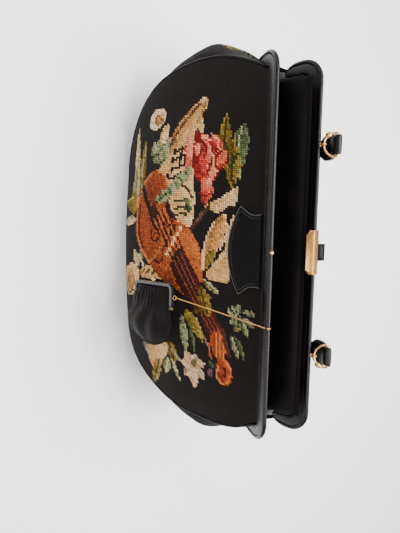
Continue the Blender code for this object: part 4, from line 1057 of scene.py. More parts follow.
def paint_front(x, z):
    canvas = Canvas(x, z, GROUND)
    warm = smoothstep((canvas.x - 20) / 150)[..., None]
    canvas.rgb = canvas.rgb * (1 - 0.25 * warm * np.array([0.1, 0.9, 0.5]))
    paint_lower_leaves(canvas)
    paint_sheet_music(canvas)
    paint_leaves_and_rose(canvas)
    paint_petals(canvas)
    paint_violin(canvas)
    paint_scroll(canvas)
    paint_right_spray(canvas)
    paint_ivy_and_calla(canvas)
    return canvas.rgb


def paint_plain(x, z):
    return Canvas(x, z, GROUND).rgb


# ================================================================ needlepoint pieces

STITCH = 2.3 * MM


def add_stitch_colours(mesh, rgb):
    """One flat colour for each stitch, which is one face of the sheet."""
    attribute = mesh.attributes.new("stitch", "FLOAT_COLOR", "CORNER")
    colour = np.ones((len(mesh.loops), 4), np.float32)
    colour[:, :3] = np.repeat(np.clip(rgb.reshape(-1, 3), 0.0005, 1.0), 4, axis=0)
    attribute.data.foreach_set("color", colour.ravel())


def even_heights(side, top):
    """Heights a stitch apart along the middle of a panel."""
    fine = np.linspace(0.0, top, 900)
    y = depth(fine, side)
    run = np.concatenate([[0], np.cumsum(np.hypot(np.diff(y), np.diff(fine)))])
    count = int(round(run[-1] / STITCH))
    return np.interp(np.linspace(0, run[-1], count + 1), run, fine)


def relief(x, z, side):
    """The slight give of worn, padded cloth: soft hollows and swells, nothing at the seams."""
    low = 1.3 * np.sin(x * 23 + 0.6) * np.sin(z * 31 + 0.4) + 0.9 * np.sin(x * 41 + z * 27 + 1.9)
    low += 1.2 * np.exp(-((x - 0.09) / 0.05) ** 2 - ((z - 0.06) / 0.03) ** 2)
    low -= 1.6 * np.exp(-((x + 0.10) / 0.06) ** 2 - ((z - 0.20) / 0.02) ** 2)
    inward = 1 - (np.abs(x) / half_width(z)) ** 6
    ends = smoothstep(z / 0.03) * smoothstep((TOP[side][0] - z) / 0.03)
    return low * MM * inward * ends * (1.0 if side == "front" else -0.8)


def panel(side, paint):
    """A needlepoint face with one mesh face a stitch, drawn in to the D outline at its edge."""
    top = TOP[side][0] - TOUCH
    heights = even_heights(side, top)
    columns = int(WIDTH_HALF / STITCH) + 1
    across = np.arange(-columns, columns + 1) * STITCH
    x, z = np.meshgrid(across, heights)
    limit = half_width(z) - SEAM_SET
    clamped = np.clip(x, -limit, limit)
    points = panel_points(clamped, z, side)
    points[..., 1] += SIDE[side] * relief(clamped, z, side)
    points[..., 0] += lean(z)
    hidden = np.repeat(points[-1:], 2, axis=0)
    rise = AXES[side].to_3x3() @ Vector((0, 0, 1))
    hidden += np.array(rise) * np.array([0.003, 0.006])[:, None, None]
    points = np.concatenate([points, hidden])
    rows = np.arange(len(points))
    uv = np.stack(np.broadcast_arrays(np.concatenate([clamped, clamped[-1:], clamped[-1:]]) / STITCH,
                                      rows[:, None] * 1.0), -1)
    mesh = grid_mesh(side + "_needlepoint", points, uv=uv, outward=MIDDLE_OF_BAG)
    middle_x = (x[:-1, :-1] + x[1:, 1:]) / 2 + lean(z[:-1, :-1])
    middle_z = (z[:-1, :-1] + z[1:, 1:]) / 2
    picture = paint(middle_x, middle_z)
    add_stitch_colours(mesh, np.concatenate([picture, picture[-1:], picture[-1:]]))
    mend(mesh, drop_slivers, weld)
    obj = link(side + "_needlepoint", mesh)
    thicken(obj, WOOL_THICK)
    apply_modifiers(obj)
    dress(obj, NEEDLEPOINT, nodes=[side + "_panel"])
    follow_frame(obj)


panel("front", paint_front)
panel("rear", paint_plain)


def paint_vine(rows, columns):
    """The gusset's climbing vine: a waving stem with paired leaves."""
    x, z = np.meshgrid(np.arange(columns) * STITCH, np.arange(rows) * STITCH)
    canvas = Canvas(x, z, GROUND)
    middle = columns * STITCH / MM / 2
    high = rows * STITCH / MM
    stem = [(middle + 7 * math.sin(k * 1.1), 20 + k * (0.64 * high - 30) / 11) for k in range(12)]
    canvas.stroke(stem, 3.0, OLIVE, BRONZE)
    for k, (sx, sz) in enumerate(stem[1:]):
        way = 1 if k % 2 else -1
        canvas.leaf((sx, sz), (sx + way * 20, sz + 11), 11, MUSTARD, OLIVE, vein=BRONZE, teeth=3)
        canvas.leaf((sx, sz + 5), (sx - way * 14, sz + 13), 8, PALE_SAGE, SAGE, teeth=3)
    return canvas.rgb


FOLD = 5


def gusset(hand, s):
    """A side strip in two halves that part above the hinge and turn in beside the frame's legs."""
    q_low = outline_at_x(BASE_X + WOOL_THICK)
    rows, columns = 96, 30
    track = []
    for row in np.linspace(0, 1, rows + 1):
        x, z = outline(q_low + (1 - q_low) * row)
        front, rear = -seam_depth(z, "front") + SEAM_SET, seam_depth(z, "rear") - SEAM_SET
        rise = max(0.0, z - HINGE_Z - ROLL_ABOVE)
        edges = {"front": (front, min(0.0, -math.tan(FRONT_TILT) * rise - 0.0015 * min(1, rise / 0.01))),
                 "rear": (max(0.0, math.tan(-REAR_TILT) * rise + 0.0015 * min(1, rise / 0.01)), rear)}
        track.append((x, z, front, rear, edges))
    colours = paint_vine(rows, columns)
    for side in ("front", "rear"):
        points, uv = [], []
        half = columns // 2
        part = range(0, half + 1)
        for r, (x, z, front, rear, edges) in enumerate(track):
            near, far = edges[side]
            inner = FRAME_HALF - BAND + 0.001
            turned = float(smoothstep((z - HINGE_Z - ROLL_ABOVE) / 0.012))
            line, marks = [], []
            for c in part:
                y = near + (far - near) * c / half
                a = 2 * (y - front) / (rear - front) - 1
                bulge = float(gusset_bulge(z)) * (1 - a ** 4)
                line.append((s * (x + bulge) + float(lean(z)), y, z))
                marks.append((c + (0 if side == "front" else half), r))
            if side == "rear":
                line.reverse()
            for k in range(1, FOLD + 1):
                tip_x, tip_y, _ = line[half]
                deep = turned * k / FOLD
                line.append((tip_x + (s * inner - tip_x) * deep, tip_y + SIDE[side] * 0.003 * deep, z))
                marks.append((half + k + (0 if side == "front" else half), r))
            points.append(line)
            uv.append(marks)
        mesh = grid_mesh("gusset", np.array(points), uv=np.array(uv), outward=MIDDLE_OF_BAG)
        strip = colours[:, :half] if side == "front" else colours[:, half:][:, ::-1]
        # Painted shade: the stitches turned in beside the frame's legs take the strip's edge colour darkened
        # to 0.6.
        folded = np.repeat(strip[:, -1:], FOLD, axis=1) * 0.6
        add_stitch_colours(mesh, np.concatenate([strip, folded], axis=1))
        if s * sum(p.normal.x * p.area for p in mesh.polygons) < 0:
            mesh.flip_normals()
        obj = link(f"gusset_{hand}_{side}_half", mesh)
        thicken(obj, WOOL_THICK)
        apply_modifiers(obj)
        for vertex in obj.data.vertices:  # the thickness must not reach below the floor
            vertex.co.z = max(0.0, vertex.co.z)
        dress(obj, NEEDLEPOINT, nodes=["gusset_" + hand])
        follow_frame(obj)


gusset("left", -1)
gusset("right", 1)


def base():
    """The needlepoint underside, with a fine grid of stitches and rounded long edges."""
    low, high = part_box("base_panel")
    columns, rows = int((high[0] - low[0]) / STITCH), int((high[1] - low[1]) / STITCH)
    x, y = np.meshgrid(np.linspace(low[0], high[0], columns + 1), np.linspace(low[1], high[1], rows + 1))
    edge = np.minimum(np.minimum(x - low[0], high[0] - x), np.minimum(y - low[1], high[1] - y))
    z = 0.0008 * (1 - smoothstep(edge / 0.003))
    uv = np.stack([x / STITCH, y / STITCH], -1)
    mesh = grid_mesh("base_needlepoint", np.stack([x, y, z], -1), uv=uv, outward=(0, 0, 1.0))
    add_stitch_colours(mesh, Canvas(x[:-1, :-1], y[:-1, :-1], GROUND).rgb)
    obj = link("base_needlepoint", mesh)
    thicken(obj, WOOL_THICK)
    dress(obj, NEEDLEPOINT, "bag", ["base_panel"])


base()


def piping(side):
    """The corded seam round a panel, with the cord's twist."""
    route = []
    for q in np.linspace(1.0, 0.0, 60)[:-1]:
        step = 0.004
        (ax, az), (bx, bz) = outline(max(0.0, q - step)), outline(min(1.0, q + step))
        long = math.hypot(bx - ax, bz - az)
        x, z = outline(q)
        route.append((x - 0.0012 * (bz - az) / long, z + 0.0012 * (bx - ax) / long))
    route = route + [(-x, z) for x, z in reversed(route)]
    line = [(x + float(lean(z)), SIDE[side] * (float(seam_depth(z, side)) - 0.0008), max(z, 0.0021))
            for x, z in route]

    def cord(i, f):
        twist, taper = 1 + 0.05 * math.sin(i * 2.1), min(1, 0.4 + 9 * min(f, 1 - f))
        return circle(0.0018 * twist * taper, 12)

    mesh = sweep("piping", line, cord, up=(0, SIDE[side], 0.01))
    obj = link(side + "_piping", mesh)
    dress(obj, PIPING, nodes=[side + "_welt"])
    follow_frame(obj)


for each in SIDE:
    piping(each)


# ================================================================ the leather-covered frame

def frame_route(side, steps=10):
    """A frame half's outer edge as (x, s, inward x, inward s), from the right leg to the left."""
    half = FRAME_HALF - CORNER_R
    shoulder = LEG - CORNER_R
    right = [(FRAME_HALF, s, -1.0, 0.0) for s in np.linspace(EAR_END[side], shoulder, 12, endpoint=False)]
    for a in np.linspace(0, math.pi / 2, steps, endpoint=False):
        c, sn = math.cos(a), math.sin(a)
        right.append((half + CORNER_R * c, shoulder + CORNER_R * sn, -c, -sn))
    bar = [(x, LEG, 0.0, -1.0) for x in np.linspace(half, -half, 90)]
    left = [(-x, s, -ix, i_s) for x, s, ix, i_s in reversed(right)]
    return right + bar + left


def leather_profile(squeeze):
    """The band's section from its rolled outer edge inward, narrowed by squeeze at an ear's end."""
    h = HALF_DEPTH / 2
    outer = [(0.0, 0.0), (0.0002, 0.45 * h), (0.0009, 0.80 * h), (0.0020, 0.97 * h), (0.0030, 0.96 * h),
             (0.0040, 0.80 * h), (0.0046, 0.66 * h), (0.0054, 0.72 * h), (0.0075, 0.80 * h),
             (0.0110, 0.80 * h), (0.0140, 0.76 * h), (0.0156, 0.58 * h), (0.0163, 0.25 * h)]
    middle = 0.0105
    pairs = [(middle + (i - middle) * squeeze, d * (0.35 + 0.65 * squeeze)) for i, d in outer]
    back = [(i, -d) for i, d in reversed(pairs[1:])]
    return pairs + back


def frame_leather(side):
    sign = SIDE[side]
    middle = sign * (HALF_GAP + HALF_DEPTH / 2)
    route = frame_route(side)
    rings = []
    run = 0.0
    rise = []
    for k, (x, s, ix, i_s) in enumerate(route):
        if k:
            run += math.hypot(x - route[k - 1][0], s - route[k - 1][1])
        rise.append(run)
    total = rise[-1]
    tip = 0.018
    for (x, s, ix, i_s), here in zip(route, rise):
        near = min(here, total - here)
        squeeze = math.sqrt(max(0.0, 1 - max(0.0, 1 - near / tip) ** 2)) * 0.94 + 0.06 if near < tip else 1.0
        rings.append([(x + ix * i, middle + sign * d, s + i_s * i) for i, d in leather_profile(squeeze)])
    mesh = tube(side + "_bar_leather", np.array(rings))
    mesh.transform(AXES[side])
    obj = link(side + "_bar_leather", mesh)
    dress(obj, LEATHER, side + "_frame", [side + "_frame_leather"])
    face = sign * (HALF_GAP + HALF_DEPTH / 2 + HALF_DEPTH / 2 * 0.80)
    line = [(x + ix * 0.0138, face, s + i_s * 0.0138) for x, s, ix, i_s in route[4:-4]]
    thread = stitches("frame_stitches", line, [(0, sign, 0)] * len(line), *BAR_THREAD)
    thread.transform(AXES[side])
    dress(link(side + "_bar_stitching", thread), THREAD, side + "_frame")


for each in SIDE:
    frame_leather(each)


def front_tab():
    """The scalloped tab: padded leather with a turned, rolled edge and a stitched line inside it."""
    top, corner_z, foot_z = TOP["front"][0] - 0.0012, 0.2015, 0.1890
    rows, columns = 40, 60

    def place(row, column, out):
        a = 2 * column - 1
        low = foot_z + (corner_z - foot_z) * a * a
        z = top + (low - top) * row
        fall = min(1.0, (top - z) / (top - corner_z))
        half = 0.0375 - 0.0015 * math.sin(math.pi * min(1.0, fall * 1.2)) + 0.0085 * fall ** 2.4
        return panel_points(half * a, z, "front", out)

    points = np.zeros((rows + 1, columns + 1, 3))
    for r in range(rows + 1):
        for c in range(columns + 1):
            row, column = r / rows, c / columns
            rim = min(column, 1 - column) * 78
            foot = (1 - row) * 30
            edge = min(rim, foot)
            roll = 0.0008 * math.exp(-((edge - 1.3) / 1.0) ** 2) - 0.0010 * math.exp(-(edge / 0.5) ** 2)
            points[r, c] = place(row, column, 0.0022 + roll)
    mesh = grid_mesh("tab", points, outward=MIDDLE_OF_BAG)
    obj = link("leather_tab", mesh)
    thicken(obj, 0.0017)
    apply_modifiers(obj)
    dress(obj, TAB_LEATHER, nodes=["front_tab"])
    follow_frame(obj)
    rim = [place(row, 0.0, 0.0018) for row in np.linspace(0.0, 1.0, 24)]
    rim += [place(1.0, column, 0.0018) for column in np.linspace(0.0, 1.0, 60)[1:-1]]
    rim += [place(row, 1.0, 0.0018) for row in np.linspace(1.0, 0.0, 24)]
    edge = link("tab_rolled_edge", sweep("tab_rim", rim, lambda i, f: circle(0.00085, 10), up=(0, -1, 0.3)))
    # The rolled edge takes the lighter rim leather, a painted highlight along the tab's edge.
    dress(edge, TAB_RIM_PAINTED_HIGHLIGHT)
    follow_frame(edge)
    line = [place(row, 0.045, 0.0023) for row in np.linspace(0.06, 0.90, 20)]
    line += [place(0.90, column, 0.0023) for column in np.linspace(0.05, 0.95, 50)]
    line += [place(row, 0.955, 0.0023) for row in np.linspace(0.90, 0.06, 20)]
    thread = link("tab_stitching",
                  stitches("tab_thread", line, [(0, -1, 0.4)] * len(line), 2.0 * MM, 0.9 * MM, 0.22 * MM))
    dress(thread, THREAD)
    follow_frame(thread)


front_tab()


# ================================================================ lining

def lining_point(x, z, side):
    """How far front or back the lining's wall stands at x and z."""
    x_half = np.minimum(LINING_HALF, half_width(np.maximum(0.0, z - LINING_SET)) - LINING_SET)
    front, rear = -(depth(z, "front") - LINING_SET), depth(z, "rear") - LINING_SET
    reach = np.clip(1 - (np.abs(x) / x_half) ** 4, 0, 1) ** 0.25
    middle, spread = (front + rear) / 2, (rear - front) / 2
    return middle + SIDE[side] * spread * reach


def simulate(obj, pins, frames=18, cap=0.005, grow=-0.04, pressure=0.0, gravity=0.4):
    """Lets a sheet settle as cloth from its own shape; no point ends further than cap from where it began."""
    scene = bpy.context.scene
    start = np.array([v.co for v in obj.data.vertices], float)
    group = obj.vertex_groups.new(name="pins")
    for index, weight in enumerate(pins):
        if weight > 0:
            group.add([index], float(weight), "REPLACE")
    cloth = obj.modifiers.new("cloth", "CLOTH")
    settings = cloth.settings
    settings.quality = 6
    settings.mass = 0.12
    settings.tension_stiffness = 12.0
    settings.compression_stiffness = 12.0
    settings.shear_stiffness = 4.0
    settings.bending_stiffness = 0.25
    settings.vertex_group_mass = "pins"
    settings.shrink_min = grow
    settings.effector_weights.gravity = gravity
    if pressure:
        settings.use_pressure = True
        settings.uniform_pressure_force = pressure
    cloth.collision_settings.use_collision = False
    cloth.point_cache.frame_start = 1
    cloth.point_cache.frame_end = frames
    for k in range(1, frames + 1):
        scene.frame_set(k)
    graph = bpy.context.evaluated_depsgraph_get()
    done = bpy.data.meshes.new_from_object(obj.evaluated_get(graph), depsgraph=graph)
    moved = np.array([v.co for v in done.vertices], float)
    bpy.data.meshes.remove(done)
    obj.modifiers.remove(cloth)
    obj.vertex_groups.remove(group)
    scene.frame_set(1)
    step = moved - start
    far = np.linalg.norm(step, axis=1)[:, None]
    step = step * np.minimum(1.0, cap * np.tanh(far / cap) / np.maximum(far, 1e-9))
    obj.data.vertices.foreach_set("co", (start + step).ravel())
    obj.data.update()


def sewn_edge(side, x, x_half):
    """Where the lining is sewn inside a frame half: under the bar, round its corner or down its leg."""
    corner, top, half = 0.010, LEG - BAND, FRAME_HALF - BAND
    grip, flat = 0.0010, FRAME_HALF - BAND - 0.010
    hand = math.copysign(1.0, x)
    if abs(x) < flat:
        at = (x, top + grip)
    else:
        t = (abs(x) - flat) / (x_half - flat)
        if t < 0.6:
            a = t / 0.6 * math.pi / 2
            reach = corner + grip
            at = (hand * (flat + reach * math.sin(a)), top - corner + reach * math.cos(a))
        else:
            at = (hand * (half + grip), top - corner - (t - 0.6) / 0.4 * 0.018)
    return AXES[side] @ Vector((at[0], SIDE[side] * (HALF_GAP + 0.0012), at[1]))


def lining_wall(side):
    """One wall of the lining, from the sack's side seam over the wall to the other, sewn under the bar."""
    floor = 0.0068
    rows, columns, facing = 46, 84, 7
    points, pins = [], []
    for r in range(rows + facing + 1):
        v = min(1.0, r / rows)
        line = []
        for c in range(columns + 1):
            turn = math.pi * c / columns
            across = -math.copysign(abs(math.cos(turn)) ** 0.5, math.cos(turn))
            z = floor + (LINING_TOP - 0.020 * abs(across) ** 10 - floor) * v
            x_half = min(LINING_HALF, float(half_width(max(0.0, z - LINING_SET))) - LINING_SET)
            x_half = max(x_half, LINING_HALF - 0.002) if z > 0.17 else x_half
            x = x_half * across
            y = lining_point(x, z, side)
            crease = 0.0009 * math.sin(x * 190 + 3 * math.sin(z * 60)) * math.sin(math.pi * v) ** 0.5
            point = Vector((x + float(lean(z)), y - SIDE[side] * abs(crease), z))
            if r > rows:
                part = (r - rows) / facing
                point = point.lerp(sewn_edge(side, x, x_half), part)
                point.y -= SIDE[side] * 0.0012 * math.sin(math.pi * part)
            line.append(tuple(point))
            pins.append(1.0 if r == 0 or r >= rows or c in (0, columns) else 0.0)
        points.append(line)
    mesh = grid_mesh(side + "_lining_wall", np.array(points), outward=MIDDLE_OF_BAG)
    obj = link(side + "_lining_wall", mesh)
    simulate(obj, pins, cap=0.0045)
    subdivide(obj)
    apply_modifiers(obj)
    thicken(obj, 0.0006)
    apply_modifiers(obj)
    dress(obj, LINING_CLOTH, nodes=["lining"])
    follow_frame(obj)


for each in SIDE:
    lining_wall(each)


def lining_floor():
    z = 0.0066
    x_half = float(half_width(0.0)) - LINING_SET
    rows, columns = 20, 40
    points = []
    for r in range(rows + 1):
        line = []
        for c in range(columns + 1):
            turn = math.pi * c / columns
            x = -x_half * math.copysign(abs(math.cos(turn)) ** 0.5, math.cos(turn))
            front, rear = lining_point(x, z, "front"), lining_point(x, z, "rear")
            line.append((x, front + (rear - front) * r / rows, z))
        points.append(line)
    obj = link("lining_floor", grid_mesh("lining_floor", np.array(points)))
    thicken(obj, 0.0005)
    dress(obj, LINING_CLOTH, "bag")


lining_floor()


def lining_pocket():
    """The flat pocket on the rear wall, with a bound top edge and a slight gape."""
    low, high, half = 0.105, 0.190, 0.075
    rows, columns = 22, 40
    points = []
    for r in range(rows + 1):
        z = low + (high - low) * r / rows
        line = []
        for c in range(columns + 1):
            x = half * (2 * c / columns - 1)
            gape = 0.0016 * math.sin(math.pi * c / columns) * (r / rows) ** 3
            ripple = 0.0004 * math.sin(x * 240) * math.sin(math.pi * r / rows)
            y = lining_point(x, z, "rear") - 0.0026 - gape - ripple
            line.append((x, y, z))
        points.append(line)
    points = np.array(points)
    obj = link("rear_pocket", grid_mesh("rear_pocket", points, outward=(0, 0.5, 0.15)))
    thicken(obj, 0.0007)
    subdivide(obj)
    apply_modifiers(obj)
    dress(obj, LINING_CLOTH, nodes=["lining_pocket"])
    follow_frame(obj)
    hem = sweep("pocket_hem", points[-1], lambda i, f: circle(0.0007, 8))
    hem_obj = link("pocket_hem", hem)
    dress(hem_obj, LINING_CLOTH)
    follow_frame(hem_obj)


lining_pocket()


# ================================================================ clasp, stud and eyelets

def clasp_plate():
    """The lift plate: a broad facet, a sloping one, a turned front lip and clipped front corners."""
    front, rear, half, cut = LIP_Y - PIN_Y - 0.0034, 0.0020 - PIN_Y, CLASP_W / 2, 0.0046
    top = PLATE_S - PIN_S
    plate_thick = 0.0012
    across = [-half, -half + cut, half - cut, half]
    rows = [(rear, top - 0.0006), (rear - 0.0010, top), (front + 0.0058, top),
            (front + 0.0010, top - 0.0042), (front + 0.0003, top - 0.0058)]
    points, faces = [], []
    for k, (y, z) in enumerate(rows):
        for x in across:
            clipped = y
            if abs(x) == half:
                clipped = max(y, front + cut) if k < 4 else front + cut
            points.append((x, clipped, z))
    for r in range(len(rows) - 1):
        for c in range(3):
            a = r * 4 + c
            faces.append((a, a + 1, a + 5, a + 4))
    mesh = mesh_from("clasp", points, faces, smooth=False)
    mend(mesh, weld, face_out)
    if sum(p.normal.z for p in mesh.polygons) < 0:
        mesh.flip_normals()
    obj = link("clasp_lift_plate", mesh, CLASP)
    thicken(obj, plate_thick)
    bevel(obj, 0.00035)
    apply_modifiers(obj)
    obj.data.shade_smooth()
    obj.data.set_sharp_from_angle(angle=math.radians(50))
    dress(obj, BRUSHED_GOLD, "clasp", ["clasp_plate"])
    barrel = sweep("clasp_barrel", [(x, 0, 0) for x in np.linspace(-0.0092, 0.0092, 9)],
                   lambda i, f: circle(0.0019 - (0.0003 if i in (0, 8) else 0), 20))
    tongue = sweep("clasp_tongue", [(x, 0.0, 0.0) for x in np.linspace(-0.0090, 0.0090, 5)],
                   lambda i, f: np.array([(0.0012, 0.0008), (0.0014, 0.0022), (-0.0058, top - 0.0002),
                                          (-0.0066, top - 0.0011), (-0.0010, 0.0012)]))
    dress(join("clasp_barrel", [barrel, tongue], CLASP), BLACKENED, "clasp")


clasp_plate()


def catch_stud():
    """A mushroom-headed stud on a small round foot."""
    profile = [(0, 0), (1.6, 0), (1.7, 0.3), (1.2, 0.55), (0.9, 0.8), (0.9, 1.1), (1.5, 1.3), (1.75, 1.6),
               (1.6, 2.0), (1.0, 2.25), (0, 2.3)]
    mesh = lathe("catch_stud", [(r * MM, z * MM) for r, z in profile])
    obj = link("catch_stud_turned", mesh, FRONT @ Matrix.Translation((0, STUD_Y, LEG + TOUCH)))
    dress(obj, GOLD, "front_frame", ["catch_stud"])


catch_stud()


def eyelets_and_rings():
    ring_pin = RING_R + RING_LEG
    for hand, s in (("left", -1), ("right", 1)):
        x = s * RING_X
        turns = np.linspace(0, 2 * math.pi, 26, endpoint=False)
        loop = [(x, EYELET_Y + 0.0027 * math.cos(a), EYELET_S + 0.0027 * math.sin(a)) for a in turns]
        eye = sweep("eye", loop, lambda i, f: circle(0.0008, 12), closed=True, up=(1, 0, 0))
        foot = lathe("foot", [(0, 0), (0.0023, 0), (0.0024, 0.0005), (0.0015, 0.0011), (0, 0.0013)])
        foot.transform(Matrix.Translation((x, EYELET_Y, LEG + TOUCH)))
        dress(join("eyelet_" + hand, [eye, foot], REAR), GOLD, "rear_frame",
              ["ring_eyelet_" + hand])
        arch = [(x + RING_R * math.sin(a), RING_R - RING_R * math.cos(a), 0.0)
                for a in np.linspace(-math.pi / 2, math.pi / 2, 30)]
        corner = 0.0016
        pin = [(x + RING_R, ring_pin - corner, 0), (x + RING_R - corner * 0.3, ring_pin - corner * 0.3, 0),
               (x + RING_R - corner, ring_pin, 0)]
        pin += [(x + u, ring_pin, 0.0) for u in np.linspace(0.6, -0.6, 7) * RING_R]
        pin += [(x - RING_R + corner, ring_pin, 0), (x - RING_R + corner * 0.3, ring_pin - corner * 0.3, 0),
                (x - RING_R, ring_pin - corner, 0)]
        wire = sweep("ring", arch + pin, lambda i, f: circle(RING_WIRE, 12), closed=True)
        dress(link("gilt_ring_" + hand, wire, RINGS), GOLD, "rings", ["handle_ring_" + hand])
        at = math.radians(52) * s
        centre = Vector((x + RING_R * math.sin(at), RING_R - RING_R * math.cos(at), 0))
        turns = [k * math.pi / 12 for k in range(13)]
        profile = [(max(0.0, BALL_R * math.sin(a)), -BALL_R * math.cos(a)) for a in turns]
        foot = profile[1][1]
        profile = [(0, foot - 0.0004), (0.0016, foot - 0.0004), (0.0018, foot)] + profile[2:-2]
        profile += [(0.0018, -profile[2][1]), (0.0016, -profile[1][1]), (0, -profile[1][1])]
        ball = lathe("ball", profile, 24)
        upright = Matrix.Rotation(math.pi / 2, 4, "Y")
        ball.transform(Matrix.Translation(centre) @ Matrix.Rotation(at, 4, "Z") @ upright)
        dress(link("gilt_ball_" + hand, ball, RINGS), GOLD, "rings", ["ring_ball_" + hand])


eyelets_and_rings()


# ================================================================ handle

def fold_half(v):
    """Half the folded leather's width at v past the ring: wider at the tab, then drawn in to the grip."""
    widen = float(smoothstep(v / 0.012) * (1 - smoothstep((v - 0.018) / 0.018)))
    draw_in = float(smoothstep((v - 0.020) / 0.015))
    return LOOP_W / 2 + (TAB_WIDE - LOOP_W) / 2 * widen - (LOOP_W / 2 - GRIP_R - 0.0006) * draw_in


def handle_ends():
    """Leather folded over the ring's bar and stitched down its edges, narrowing into the rolled grip."""
    for hand, s in (("left", -1), ("right", 1)):
        x = s * RING_X
        rings = []
        heights = [-0.99, -0.9, -0.7, -0.4, 0.0, 0.5, 1.0, 1.6, 2.2, 2.8, 3.4, 4.1, 4.9, 5.8, 6.7, 7.5, 8.0,
                   8.35]
        for f in heights:
            v = f * LOOP_R
            a = fold_half(v)
            if v < 0:
                b = math.sqrt(LOOP_R ** 2 - v * v)
            else:
                thin, swell = float(smoothstep(v / 0.010)), float(smoothstep((v - 0.024) / 0.011))
                b = LOOP_R + (0.0031 - LOOP_R) * thin + (GRIP_R - 0.0031) * swell
            power = 5.0 - 2.8 * float(smoothstep((v - 0.020) / 0.012))
            turns = np.linspace(0, 2 * math.pi, 40, endpoint=False)
            c, sn = np.cos(turns), np.sin(turns)
            rings.append(np.stack([x + a * np.sign(c) * np.abs(c) ** (2 / power),
                                   np.full(40, v),
                                   b * np.sign(sn) * np.abs(sn) ** (2 / power)], 1))
        mesh = grid_mesh("handle_end", np.array(rings), loop=True)
        mend(mesh, fill_ends, face_out)
        obj = link("folded_end_" + hand, mesh)
        bore = [(x + u, 0, 0) for u in np.linspace(-0.03, 0.03, 5)]
        drill = link("drill", sweep("drill", bore, lambda i, f: circle(0.0016, 20)))
        cut = obj.modifiers.new("hole", "BOOLEAN")
        cut.operation = "DIFFERENCE"
        cut.solver = "EXACT"
        cut.object = drill
        apply_modifiers(obj)
        bpy.data.objects.remove(drill)
        obj.matrix_world = HANDLE
        obj.data.shade_smooth()
        obj.data.set_sharp_from_angle(angle=math.radians(55))
        dress(obj, LEATHER, "handle", ["handle_end_" + hand])
        parts = []
        for side in (-1, 1):
            for edge in (-1, 1):
                line, normals = [], []
                for v in np.linspace(0.007, 0.026, 12):
                    line.append((x + edge * (fold_half(v) - 0.0022), v, side * 0.0032))
                    normals.append((0, 0, side))
                parts.append(stitches("seam", line, normals, *SEAM_THREAD))
        dress(join("handle_stitching_" + hand, parts, HANDLE), THREAD, "handle")


def handle_grip():
    start = TAB_LEN + 2 * TOUCH
    line = []
    for a in np.linspace(0, math.pi, 90):
        c, sn = math.cos(a), math.sin(a)
        line.append((-ARCH_HALF * math.copysign(abs(c) ** 0.72, c),
                     start + 0.004 + (ARCH_DROP - start - 0.004) * sn ** 0.86, 0.0))
    line = [(-ARCH_HALF, start, 0.0)] + line + [(ARCH_HALF, start, 0.0)]
    turns = np.linspace(0, 2 * math.pi, 32, endpoint=False)
    seam = np.exp(-((turns - math.pi / 2) / 0.16) ** 2)
    groove = sum(np.exp(-((turns - math.pi / 2 - off) / 0.10) ** 2) for off in (0.34, -0.34))
    radius = GRIP_R - 0.0004 + 0.0004 * seam - 0.0003 * groove
    section = np.stack([radius * np.cos(turns), radius * np.sin(turns)], 1)
    mesh = sweep("grip", line, lambda i, f: section * (1 - 0.02 * math.sin(i * 1.9)), up=(0, 0, 1))
    dress(link("rolled_grip", mesh, HANDLE), LEATHER, "handle", ["handle_grip"])
    line = np.array(line)
    ahead = np.gradient(line, axis=0)
    ahead /= np.linalg.norm(ahead, axis=1)[:, None]
    thread_line = line + np.array([0, 0, 1]) * (GRIP_R - 0.0002)
    thread = stitches("grip_thread", thread_line[3:-3], [(0, 0, 1)] * (len(line) - 6), 2.4 * MM, 1.2 * MM,
                      0.24 * MM)
    dress(link("grip_stitching", thread, HANDLE), THREAD, "handle")


handle_ends()
handle_grip()


# ================================================================ coin purse

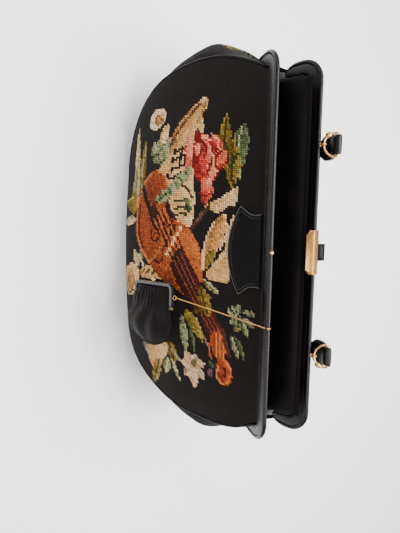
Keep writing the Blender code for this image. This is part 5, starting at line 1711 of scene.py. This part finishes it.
def purse_half(side, s):
    """Half of the purse's pouch: gathered under the frame, blown out and creased by a cloth run."""
    rows, columns = 44, 46
    start = PURSE_BAR + 0.0006
    points, pins = [], []
    for r in range(rows + 1):
        row = r / rows
        u = start + (PURSE_LEN - start) * row
        mouth = PURSE_FRAME_W / 2 - PURSE_BAR - 0.0022
        spread = float(smoothstep((u - PURSE_PIN_U + 0.0040) / 0.026))
        rounded = math.sqrt(max(0.0, 1 - max(0.0, (row - 0.42) / 0.58) ** 2.2))
        half = max(0.004, (mouth + (PURSE_BELLY - mouth) * spread) * rounded)
        middle = -PURSE_FRAME_W / 2 - PURSE_SAG * (spread - 0.6 * float(smoothstep(2 * row - 1)))
        slump = 0.0070 * float(smoothstep((u - start) / 0.014)) * (1 - 0.8 * spread) * rounded
        line = []
        for c in range(columns + 1):
            across = 2 * c / columns - 1
            puff = 0.0026 * (1 - row) + PURSE_PUFF * math.sin(math.pi * min(1.0, row * 0.95 + 0.05)) ** 0.7
            w = 0.0005 + max(0.0, puff * 0.92) * (1 - abs(across) ** (2.6 if across > 0 else 4.5))
            centred = 1 - abs(across) ** 4
            gather = 0.0007 * math.cos(across * 34) * (1 - smoothstep((row - 0.05) / 0.55)) * centred
            fold = 0.0010 * math.sin(across * 9 + row * 7) * math.sin(math.pi * row) * centred
            low = slump * float(smoothstep(-across)) if across < 0 else 0.0
            line.append((u, middle + half * across - low, s * (w + float(gather) + fold)))
            pins.append(1.0 if r in (0, rows) or c in (0, columns) else 0.0)
        points.append(line)
    mesh = grid_mesh("purse_" + side, np.array(points))
    if sum(p.normal.z for p in mesh.polygons) * s < 0:
        mesh.flip_normals()
    mesh.transform(PURSE)
    obj = link(f"moire_{side}_half", mesh)
    simulate(obj, pins, frames=16, cap=0.0022, grow=-0.05, pressure=0.8, gravity=0.5)
    subdivide(obj)
    apply_modifiers(obj)
    thicken(obj, 0.0005)
    apply_modifiers(obj)
    dress(obj, MOIRE, "coin_purse", [f"purse_{side}_cloth"])
    left, right = [line[0] for line in points], [line[-1] for line in points]
    return left + points[-1][1:-1] + right[::-1]


def coin_purse():
    for side, s in (("front", 1), ("rear", -1)):
        rim = purse_half(side, s)
    edge = [(u, v, 0.0) for u, v, _ in rim]
    seam = sweep("purse_seam", edge, lambda i, f: circle(0.0006, 8), up=(0, 0, 1))
    dress(link("purse_seam", seam, PURSE), MOIRE, "coin_purse")
    for side, s, body in (("front", 1, "purse_front"), ("rear", -1, "coin_purse")):
        ball = lathe("snap", [(0, -0.0026), (0.0011, -0.0024), (0.0021, -0.0016), (0.0026, -0.0003),
                              (0.0025, 0.0007), (0.0017, 0.0018), (0.0009, 0.0022), (0.0008, 0.0026),
                              (0.0012, 0.0028), (0, 0.0029)], 24)
        ball.transform(Matrix.Translation((-0.0029, -PURSE_FRAME_W / 2 + s * 0.0021, s * 0.0016))
                       @ Matrix.Rotation(math.pi / 2 + s * 0.35, 4, "Y"))
        dress(link("kiss_lock_" + side, ball, PURSE), GOLD, body, ["purse_snap_" + side])


coin_purse()


# ================================================================ the CAD pieces that stay

def keep(name, material):
    """A CAD piece whose shape is right, with a finished material."""
    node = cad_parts[name]
    for index in range(max(1, len(node.material_slots))):
        if node.material_slots:
            node.material_slots[index].link = "OBJECT"
            node.material_slots[index].material = material
        else:
            node.data.materials.append(material)


for kept in ("front_frame_steel", "rear_frame_steel", "front_hinge_plate_left", "front_hinge_plate_right",
             "rear_hinge_plate_left", "rear_hinge_plate_right", "hinge_rivet_left", "hinge_rivet_right"):
    keep(kept, STEEL)
for kept in ("chain_anchor", "purse_jump_ring", "purse_pin_lower", "purse_pin_upper"):
    keep(kept, GOLD)
for kept in ("purse_front_frame", "purse_rear_frame"):
    keep(kept, ENAMEL)
for kept in ("clasp_bracket", "clasp_pin"):
    keep(kept, BLACKENED)
keep("base_board", BOARD)
